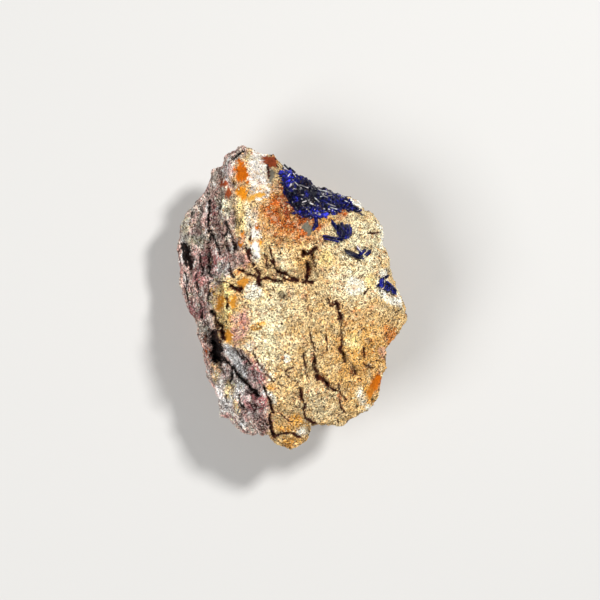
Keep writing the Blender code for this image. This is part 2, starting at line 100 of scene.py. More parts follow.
# Flats of the face: a point on each, the azimuth that it faces, its slope in degrees.
FACE_FLATS = (
    (2.0, -8.0, 33.0, -60, 3), (6.0, 12.0, 33.0, 70, 7), (17.0, -2.0, 32.4, -5, 15),
    (21.0, 8.0, 31.2, 28, 22), (13.0, -24.0, 31.0, -48, 20), (20.0, -17.0, 30.6, -22, 26),
    (-3.0, -27.0, 31.6, -105, 15), (9.0, 27.0, 31.0, 62, 32), (-7.0, 32.0, 31.2, 84, 10),
    (-9.0, 21.0, 32.0, 172, 9), (-10.0, -20.0, 31.8, 200, 12),
)
FACE_SOFTENING = 0.35  # how far the edges between them are rounded off
# Lumps and dishes of the face: X, Y, radius in X, radius in Y, turn, height.
SWELLS = (
    (-25.3, 17.5, 4.6, 9.5, -12, 4.2), (-18.0, 8.0, 4.5, 13.0, 4, 1.5),
    (-25.0, 1.0, 4.0, 7.0, 8, 2.2), (-11.5, -27.0, 6.0, 7.0, 20, 1.4),
    (-15.0, -1.5, 5.0, 6.5, 10, 1.3), (-11.5, -8.0, 4.0, 4.5, 0, 1.0),
    (-7.5, 33.0, 3.5, 6.5, 10, 1.3), (-3.0, 21.5, 7.5, 7.0, 0, -1.5),
    (-1.0, 11.5, 8.0, 4.0, -6, 1.8), (18.0, 22.0, 6.5, 5.0, 20, 1.2),
    (15.5, 7.0, 7.5, 6.5, 0, 0.7), (25.5, -4.5, 4.5, 4.0, 0, 1.0),
    (8.0, -14.0, 9.0, 12.0, 8, 1.0), (4.5, 1.5, 3.0, 7.0, 10, -0.6),
    (20.0, -24.0, 6.0, 7.0, 25, -1.8), (0.5, -37.0, 6.5, 3.5, 0, -4.0),
    (5.5, 31.0, 5.8, 4.6, -20, -3.4), (15.0, 27.5, 7.0, 3.2, -28, -1.8),
)
# Broad valleys of the face: half width, depth, and their way across it. Below them, how far
# a valley or a crack wanders off its way, the size of the wandering, and its salt.
VALLEYS = (
    (1.6, 1.6, ((-22.6, 27.0), (-21.6, 22.0), (-20.4, 17.5), (-21.0, 13.0), (-22.5, 8.0))),
    (1.4, 1.2, ((-17.2, 18.5), (-16.4, 14.0), (-14.6, 10.5), (-12.4, 8.0), (-10.2, 6.2))),
    (1.6, 1.5, ((-22.6, -6.5), (-21.6, -9.5), (-20.6, -13.0), (-19.9, -16.0))),
    (1.4, 1.2, ((-19.9, -16.0), (-17.4, -18.8), (-14.6, -21.4), (-11.6, -23.6), (-8.6, -27.2))),
    (1.3, 0.9, ((-14.6, 8.2), (-12.4, 7.0), (-9.0, 6.4), (-5.4, 7.8), (-1.2, 6.2), (1.0, 5.9))),
    (1.2, 0.7, ((3.2, 14.2), (2.2, 10.6), (2.4, 8.4), (1.4, 6.4))),
    (1.2, 0.6, ((7.0, -0.2), (9.6, -4.4), (10.8, -8.6), (11.4, -13.8))),
    (1.2, 0.6, ((2.4, -13.0), (3.6, -18.2), (6.0, -20.8), (8.8, -24.6), (10.4, -30.0))),
    (1.3, 0.9, ((0.6, -24.6), (1.4, -27.6), (1.8, -30.6), (4.6, -33.0))),
    (1.4, 1.2, ((-6.4, -33.4), (-4.0, -34.0), (1.0, -34.6))),
)
VALLEY_WANDER, CRACK_WANDER = (0.9, 4.0, 31), (0.3, 1.5, 33)
# Cracks and crevices: half width, depth, and the ways of those of that size across the face.
CRACKS = (
    (1.45, 6.0, ((-20.5, -8.7), (-19.9, -11.8), (-19.7, -15.5))),
    (0.85, 4.5, ((-28.2, 14.6), (-27.7, 12.6), (-27.1, 10.2), (-26.8, 8.6))),
    (0.63, 3.0, ((-20.7, -3.1), (-19.7, -5.2), (-18.4, -7.3), (-17.8, -10.0))),
    (0.62, 2.2, ((11.5, -0.8), (12.1, -2.6), (12.9, -4.7))),
    (0.62, 2.0, ((6.6, -19.9), (8.7, -21.0), (9.4, -22.6))),
    (0.6, 3.0, ((-29.0, 13.4), (-28.3, 11.3), (-27.9, 9.2))),
    (0.6, 2.3, ((4.2, 9.2), (3.9, 7.3), (3.7, 5.2))),
    (0.52, 2.4, ((-5.8, -29.9), (-5.5, -32.5), (-5.0, -35.7))),
    (0.5, 1.9, ((3.1, 12.1), (4.5, 12.3), (5.5, 12.9), (6.3, 13.6))),
    (0.47, 2.4,
        ((-18.4, -14.7), (-16.5, -16.8), (-14.4, -18.9), (-12.6, -21.2), (-10.5, -23.1),
         (-8.7, -24.7))),
    (0.47, 1.7, ((-5.2, 10.0), (-4.2, 8.4), (-2.9, 7.3), (-1.0, 6.3), (1.0, 5.2))),
    (0.45, 1.9, ((-16.0, 3.7), (-14.7, 3.1), (-13.4, 2.6))),
    (0.45, 1.5, ((2.9, 4.5), (3.9, 5.0), (5.2, 4.5))),
    (0.42, 1.8,
        ((2.1, -23.1), (2.6, -25.4), (3.4, -27.0), (2.9, -28.9), (3.4, -30.4), (4.5, -31.5),
         (6.0, -32.3))),
    (0.42, 1.5, ((5.2, 12.9), (5.0, 11.5), (5.5, 10.5))),
    (0.4, 1.5, ((5.8, -15.7), (5.8, -17.8), (6.6, -20.5))),
    (0.39, 1.3, ((-9.4, 7.9), (-8.4, 6.6), (-8.9, 5.0), (-8.4, 3.7))),
    (0.37, 1.8, ((-7.3, -22.6), (-6.6, -24.4), (-5.5, -27.0), (-5.0, -29.4))),
    (0.37, 1.7, ((-21.2, 18.4), (-20.5, 16.3), (-19.4, 14.2), (-18.9, 12.3))),
    (0.34, 1.7, ((-21.5, 26.2), (-21.8, 23.1), (-22.0, 20.5), (-21.8, 17.8))),
    (0.34, 1.6, ((-17.0, 1.0), (-16.8, -0.5), (-16.8, -2.1))),
    (0.34, 1.2,
        ((-13.6, 7.9), (-11.8, 6.8), (-10.0, 6.3), (-8.4, 5.5), (-6.3, 5.8), (-4.5, 5.0), (-2.4, 4.7)),
        ((9.4, -22.0), (10.8, -23.3), (12.6, -23.6))),
    (0.32, 1.4, ((-18.1, 17.3), (-17.0, 16.0), (-17.0, 14.2), (-16.5, 12.9)),
        ((-12.3, 13.9), (-10.8, 12.1), (-9.4, 11.0)), ((-17.0, 1.3), (-16.5, -1.6)),
        ((-14.4, -13.4), (-12.6, -15.7), (-11.5, -16.8)),
        ((-19.9, 15.2), (-19.1, 13.4), (-18.9, 11.8))),
    (0.32, 1.2,
        ((12.9, -4.7), (12.6, -6.8), (12.9, -9.7), (12.9, -11.8), (12.3, -13.1), (13.6, -13.9),
         (13.6, -15.7))),
    (0.31, 1.4, ((-4.5, -35.9), (-2.6, -35.1), (-0.5, -34.9), (1.0, -35.4), (2.4, -36.2)),
        ((-17.0, 20.5), (-16.8, 18.4), (-17.3, 16.8))),
    (0.31, 1.2, ((-11.8, 12.6), (-11.0, 10.5), (-10.0, 8.9)),
        ((-16.0, -17.3), (-15.7, -19.4), (-16.0, -21.5))),
    (0.31, 1.0, ((-3.9, 6.6), (-2.1, 5.8), (0.0, 5.0), (1.6, 5.2))),
    (0.31, 0.9, ((-5.8, 13.6), (-5.5, 12.1), (-4.5, 10.0))),
    (0.3, 1.4, ((-15.7, 16.8), (-15.0, 15.0), (-14.2, 13.1)),
        ((-17.0, 19.7), (-16.0, 17.6), (-15.5, 16.0), (-15.5, 14.2), (-14.7, 13.1))),
    (0.29, 1.1, ((-16.3, 10.0), (-16.0, 7.9), (-15.5, 6.3))),
    (0.29, 1.0, ((-11.0, 13.1), (-10.2, 10.8))),
    (0.29, 0.9, ((15.5, -17.3), (16.5, -18.6), (16.8, -19.4))),
    (0.26, 1.2, ((-21.2, 17.3), (-21.8, 15.0), (-22.0, 13.1))),
    (0.26, 1.1, ((-22.0, 15.7), (-21.8, 13.1), (-21.8, 10.0), (-21.5, 6.8))),
    (0.26, 0.9, ((-3.1, 1.8), (-2.4, 0.6), (-1.5, 0.7)), ((19.9, 17.3), (21.2, 17.6), (22.8, 17.8))),
    (0.26, 0.8, ((-7.1, 12.1), (-6.6, 10.5), (-6.8, 9.2), (-5.5, 8.9)), ((18.9, 1.6), (19.9, 2.9)),
        ((-12.6, 39.3), (-14.2, 38.0), (-15.5, 36.7))),
    (0.26, 0.7, ((18.6, -16.3), (19.9, -17.3), (21.2, -17.8))),
    (0.24, 1.0, ((-22.3, 9.2), (-21.8, 7.1), (-21.2, 6.3)), ((-16.5, 8.1), (-16.0, 6.6), (-15.0, 5.8)),
        ((-24.1, 12.1), (-24.4, 10.0), (-23.3, 7.9), (-23.9, 6.3)),
        ((-25.2, 7.1), (-25.2, 4.5), (-24.9, 2.4)),
        ((-28.3, 7.1), (-27.5, 4.5), (-28.1, 2.6), (-27.3, -0.3)),
        ((-21.8, 4.7), (-21.8, 1.8), (-22.0, -0.8)), ((-13.9, -24.9), (-13.6, -27.0), (-12.6, -28.3)),
        ((-11.0, -26.8), (-9.4, -28.9)), ((-8.4, -30.2), (-6.3, -32.8)), ((-19.9, 5.0), (-17.0, 4.7)),
        ((-26.2, 23.1), (-27.0, 20.5)), ((-24.4, -0.3), (-23.3, -2.6), (-23.9, -4.7))),
    (0.24, 0.9, ((-24.9, 4.5), (-24.7, 2.1), (-24.1, 0.3))),
    (0.24, 0.8, ((9.4, 0.5), (9.7, -0.8), (10.5, -1.8)), ((12.1, -22.0), (12.6, -24.1), (14.2, -26.2)),
        ((-13.6, -13.1), (-12.1, -15.0), (-10.5, -16.8)),
        ((-10.0, -13.6), (-8.9, -16.3), (-6.8, -18.9), (-5.0, -21.2))),
    (0.24, 0.7, ((8.9, -9.4), (9.2, -13.1)), ((-1.8, -18.4), (0.3, -17.6))),
    (0.21, 0.8, ((5.8, 10.5), (6.0, 7.9), (6.6, 6.0)),
        ((4.5, -7.9), (5.2, -10.8), (6.0, -13.1), (5.8, -15.7)),
        ((-3.7, -28.9), (-2.1, -30.4), (-0.8, -31.7)), ((-21.8, 4.5), (-21.5, 1.3))),
    (0.21, 0.7, ((12.3, -26.2), (13.4, -28.9), (11.8, -30.7), (12.1, -32.5))),
    (0.21, 0.6, ((-3.1, -21.8), (-1.6, -22.8)), ((-1.3, -19.4), (0.0, -20.7), (1.6, -21.5)),
        ((18.6, -12.6), (18.9, -15.0)), ((-6.4, 35.6), (-6.1, 33.8), (-6.2, 31.8)),
        ((-11.3, 19.9), (-10.5, 17.8), (-11.0, 15.7))),
    (0.2, 0.6, ((2.9, -14.2), (3.4, -17.0), (3.7, -19.9))),
)
# Flats of the sides (azimuth, lean inwards, bite) and of the rim (azimuth, rise over the
# girth, inset, tilt upwards).
SIDE_FLATS = (
    (4, 3, 0.6), (26, 14, 0.2), (48, 4, 1.0), (72, 11, 0.4), (92, 16, 0.4), (108, 3, 1.6),
    (124, 13, 1.2), (146, -4, 1.2), (168, 9, 0.6), (190, -2, 0.6), (214, 6, 0.6),
    (236, -3, 1.6), (254, 9, 1.4), (272, 16, 2.2), (291, 0, 1.2), (309, 12, 1.2),
    (330, -4, 0.4), (348, 8, 0.8),
)
RIM_FLATS = (
    (2, 3.5, 0.4, 34), (24, 4.0, 0.8, 42), (47, 5.0, 0.8, 48), (66, 6.0, 0.6, 40),
    (104, 6.0, 1.2, 38), (122, 8.0, 0.8, 30), (300, 2.5, 0.8, 46), (318, 2.5, 0.4, 36),
    (341, 2.0, 0.2, 50), (280, 2.0, 1.0, 52),
)


def scatter(cells, salt):
    """A number from 0 to 1 for each row of whole numbers, by mixing their bits."""
    bits = cells.astype(np.int64).astype(np.uint32)
    mixed = bits[..., 0] * np.uint32(73856093)
    mixed ^= bits[..., 1] * np.uint32(19349663)
    mixed ^= bits[..., 2] * np.uint32(83492791)
    mixed ^= np.uint32(salt * 2654435761 % 2**32)
    mixed = (mixed ^ (mixed >> np.uint32(15))) * np.uint32(2246822519)
    mixed = (mixed ^ (mixed >> np.uint32(13))) * np.uint32(3266489917)
    return (mixed ^ (mixed >> np.uint32(16))) / 4294967295.0


def smooth_noise(points, size, salt=0):
    """Smooth noise from -1 to 1 with bumps about size across: random slopes at the corners
    of a cubic lattice, blended between them."""
    scaled = points / size
    base = np.floor(scaled)
    part = scaled - base
    blend = part**3 * (part * (part * 6 - 15) + 10)
    total = np.zeros(points.shape[:-1])
    for corner in np.ndindex(2, 2, 2):
        at = base + corner
        slope = np.stack([scatter(at, salt + k) for k in (1, 2, 3)], -1) * 2 - 1
        weight = np.prod(np.where(corner, blend, 1 - blend), -1)
        total += weight * (slope * (part - corner)).sum(-1)
    return total * 1.6


def layered_noise(points, layers, middle=0):
    """A middle value plus layers of smooth noise, each times its height."""
    return sum((height * smooth_noise(points, size, salt) for height, size, salt in layers), middle)


def by_angle(table, angle):
    """A table's value at each angle, in straight lines between its rows."""
    degrees, values = np.array(table, float).T
    return np.interp(np.degrees(angle) % 360, degrees, values, period=360)


def oval_radius(x, y, shape):
    """Distance from the middle of a turned oval, as a share of its radius that way."""
    cx, cy, rx, ry, turn = shape
    c, s = math.cos(math.radians(turn)), math.sin(math.radians(turn))
    u = ((x - cx) * c + (y - cy) * s) / rx
    v = ((y - cy) * c - (x - cx) * s) / ry
    return np.sqrt(u * u + v * v)


def distance_to_line(x, y, line):
    """Distance in the XY plane to a line through the given points."""
    nearest = np.full(x.shape, np.inf)
    for (ax, ay), (bx, by) in zip(line, line[1:]):
        dx, dy = bx - ax, by - ay
        along = np.clip(((x - ax) * dx + (y - ay) * dy) / (dx * dx + dy * dy), 0, 1)
        nearest = np.minimum(nearest, np.hypot(x - ax - along * dx, y - ay - along * dy))
    return nearest


def trough_depth(x, y, troughs, wander, size, salt):
    """How deep some troughs are at each point: rounded along each line, which wanders by
    noise of the given size and swells and narrows on its way."""
    flat = np.stack([x, y, np.zeros_like(x)], -1)
    bent_x = x + wander * smooth_noise(flat, size, salt)
    bent_y = y + wander * smooth_noise(flat, size, salt + 6)
    swelling = np.clip(0.95 + 0.8 * smooth_noise(flat, size * 1.3, salt + 10), 0.45, 1.5)
    depth = np.zeros_like(x)
    for width, most, *lines in troughs:
        near = np.min([distance_to_line(bent_x, bent_y, line) for line in lines], axis=0)
        near /= width * swelling
        depth = np.maximum(depth, most * np.exp(-(near**2)))
    return depth


def face_edge(x, y):
    """X of the tan face's left edge at each point: its table's line, frayed by noise."""
    flat = np.stack([x, y, np.zeros_like(x)], -1)
    return np.interp(y, *np.array(FACE_EDGE).T) + layered_noise(flat, EDGE_FRAY)


def face_height(x, y):
    """Height of the upper surface: the lowest of its flats with softened edges, the flank's
    fall past the face's edge, the swells, and the valleys and cracks."""
    kept = np.zeros(x.shape)
    for px, py, pz, azimuth, slope in FACE_FLATS:
        turn, fall = math.radians(azimuth), math.tan(math.radians(slope))
        plane = pz - fall * ((x - px) * math.cos(turn) + (y - py) * math.sin(turn))
        kept = kept + np.exp(-(plane - FACE_HEIGHT) / FACE_SOFTENING)
    height = FACE_HEIGHT - FACE_SOFTENING * np.log(kept)
    rows, steps, slopes = np.array(FLANK_FALL).T
    past = np.maximum(0, face_edge(x, y) - x)
    height -= np.interp(y, rows, steps) * np.clip(past / FLANK_STEP, 0, 1)
    height -= np.interp(y, rows, slopes) * past
    for *shape, rise in SWELLS:
        height += rise * np.exp(-(oval_radius(x, y, shape) ** 3))
    height -= trough_depth(x, y, VALLEYS, *VALLEY_WANDER)
    return height - trough_depth(x, y, CRACKS, *CRACK_WANDER)


def profile(steps=400):
    """The way from the middle of the face over the rim to the foot: the share of its length,
    of the outline reached, of the face's height left, and of the side gone down."""
    face_part = np.linspace(0, 1, steps)
    face_rise = (1 - face_part**RIM_POWER) ** (1 / RIM_POWER)
    side_part = np.linspace(0, 1, steps)[1:]
    foot_tuck, girth_drop = FOOT_TUCK / FACE_SHARE, GIRTH_DROP / FACE_SHARE
    across = np.concatenate([face_part * FACE_REACH, FACE_REACH - foot_tuck * side_part**2])
    down = np.concatenate([(face_rise - 1) * FACE_RISE, -FACE_RISE - girth_drop * side_part])
    length = np.concatenate([[0], np.cumsum(np.hypot(np.diff(across), np.diff(down)))])
    return (
        length / length[-1],
        np.concatenate([face_part, np.ones(steps - 1)]),
        np.concatenate([face_rise, np.zeros(steps - 1)]),
        np.concatenate([np.zeros(steps), side_part]),
    )


def wrap(a, b):
    """Carries the square grid (a, b) over the lump, its square rings becoming rings round
    the lump. Gives the points and how far down the side each one is."""
    wide = np.abs(a) >= np.abs(b)
    ring = np.where(wide, a, b)
    turn = math.pi / 4 * np.where(wide, b, a) / np.where(ring == 0, 1, ring)
    turn = np.where(wide, turn, math.pi / 2 - turn)
    angle = np.arctan2(ring * np.sin(turn), ring * np.cos(turn))
    along, share, rise, side = profile()
    share = np.interp(np.abs(ring), along, share)
    rise = np.interp(np.abs(ring), along, rise)
    side = np.interp(np.abs(ring), along, side)
    girth = by_angle(GIRTH, angle)
    reach = by_angle(OUTLINE, angle) * share * (1 - (1 - by_angle(FOOT, angle)) * side**2)
    x, y = reach * np.cos(angle), reach * np.sin(angle)
    top = np.maximum(face_height(x, y), girth + 1)
    z = np.where(side > 0, girth * (1 - side), girth + (top - girth) * rise)
    return np.stack([x, y, z], -1), side


def cut_to_plane(points, azimuth, rise, inset, tilt, share=1.0):
    """Moves what lies past a plane back to it. The plane faces the azimuth, tilts up, and
    passes rise above the girth and inset from the outline."""
    turn, tilt = math.radians(azimuth), math.radians(tilt)
    facing = np.array([math.cos(turn) * math.cos(tilt), math.sin(turn) * math.cos(tilt),
                       math.sin(tilt)])
    reach = by_angle(OUTLINE, turn) - inset
    start = np.array([reach * math.cos(turn), reach * math.sin(turn), by_angle(GIRTH, turn) + rise])
    past = np.maximum(0, (points - start) @ facing) * share
    return points - past[..., None] * facing


def unit(vectors):
    """Each vector divided by its own length."""
    return vectors / np.maximum(np.linalg.norm(vectors, axis=-1, keepdims=True), 1e-9)


def grid_normals(points):
    """Outward normals of a wrapped grid, from the way to each point's neighbours."""
    return unit(np.cross(np.gradient(points, axis=0), np.gradient(points, axis=1)))


def flank_share(points, side):
    """1 on the schistose flank and the sides below it, 0 on the sandy face."""
    x, y = points[..., 0], points[..., 1]
    past = face_edge(x, y) + np.interp(y, *FLANK_LAP) - x + 0.6 * smooth_noise(points, 2.4, 51)
    low = np.clip(-x / 14 + 0.3 * smooth_noise(points, 9.0, 53) + 0.2, 0, 1)
    down = np.clip(side * 3, 0, 1)
    return np.clip(past / 2.0, 0, 1) * (1 - down) + low * down


def foliation(points):
    """Coordinates that follow the flank's layers: across them, along them and through. The
    layers run up the flank, and bend towards the lower right near its foot."""
    x, y, z = points[..., 0], points[..., 1], points[..., 2]
    across = x + np.interp(y, *LAYER_BEND) * 0.85 + layered_noise(points, LAYER_SWAY) + 0.35 * z
    return np.stack([across, y * 0.32, z * 0.5], -1)


def plate_edges(layers):
    """How far each point is from the edges of two sizes of the flank's plates: noise of each
    size, without its sign, is 0 along them."""
    return np.abs(smooth_noise(layers, 1.7, 71)), np.abs(smooth_noise(layers, 0.9, 73))


def relief(points, side):
    """How far the stone's roughness moves each point along its normal: broad crags, then
    hackly breaks, small ledges and pits on the sandy part, and sharp crevices between the
    layers of the flank."""
    down = np.clip(side * 3, 0, 1)
    crags = layered_noise(points, CRAGS)
    sheared = points * np.array([1.0, 0.3, 1.0])
    broad_ribs = 0.5 - np.abs(smooth_noise(sheared, 5.5, 14)) * 2
    moved = crags * (0.6 + down) + np.clip((-13 - points[..., 0]) / 4, 0, 1) * broad_ribs * 1.3

    flank = flank_share(points, side)
    hackly = layered_noise(points, HACKLY_BREAKS)
    ledges = sum(height * np.tanh(smooth_noise(points, size, salt) / softness)
                 for height, size, salt, softness in SAND_LEDGES)
    pits = -1.3 * np.clip(smooth_noise(points, 1.6, 65) - 0.38, 0, 1)
    grainy = 0.16 * smooth_noise(points, 1.0, 67)
    moved += (1 - flank) * ((hackly + ledges) * (1 + 0.8 * down) + pits) + grainy

    large, small = plate_edges(foliation(points))
    plates = 0.8 * large + 0.5 * small
    breaks = 0.35 * smooth_noise(points, 2.3, 75)
    breaks += 0.15 * np.tanh(smooth_noise(points, 2.6, 77) / 0.1)
    return moved + flank * (plates - 0.3 + breaks)


def skin(a, b):
    """The lump's finished surface at (a, b) on the square grid, with the side share and how
    far the roughness moved it."""
    points, side = wrap(a, b)
    for azimuth, lean, bite in SIDE_FLATS:
        points = cut_to_plane(points, azimuth, 0, bite, -lean, np.clip(side * 2.5, 0, 1))
    for azimuth, rise, inset, tilt in RIM_FLATS:
        points = cut_to_plane(points, azimuth, rise, inset, tilt)
    rough = relief(points, side) * np.clip(points[..., 2] / 3, 0, 1)
    moved = points + grid_normals(points) * rough[..., None]
    moved[..., 2] = np.where(side >= 0.9999, 0.0, np.maximum(moved[..., 2], 0.15))
    return moved, side


def averaged(values, rounds):
    """A grid of values averaged with its neighbours over and over."""
    for _ in range(rounds):
        inner = values.copy()
        inner[1:-1, 1:-1] = (values[:-2, 1:-1] + values[2:, 1:-1] + values[1:-1, :-2]
                             + values[1:-1, 2:]) / 4
        values = inner
    return values


# Colours of the stone.
TAN, FLANK_TONE, BLUSH = (0.69, 0.49, 0.235), (0.84, 0.54, 0.45), (0.98, 0.77, 0.60)
SAND, STRAW, CREAM = (0.68, 0.39, 0.12), (0.93, 0.68, 0.27), (0.88, 0.77, 0.50)
IVORY, CHALK, GREY = (0.93, 0.89, 0.74), (0.88, 0.83, 0.78), (0.88, 0.87, 0.86)
OCHRE, AMBER, ORANGE = (0.90, 0.56, 0.20), (0.80, 0.38, 0.06), (0.66, 0.17, 0.012)
RUST, BRICK, LIVER = (0.49, 0.105, 0.015), (0.27, 0.055, 0.02), (0.11, 0.03, 0.02)
ROSE, MAUVE = (0.60, 0.32, 0.26), (0.44, 0.155, 0.155)
ASH, SLATE = (0.54, 0.48, 0.39), (0.12, 0.10, 0.09)
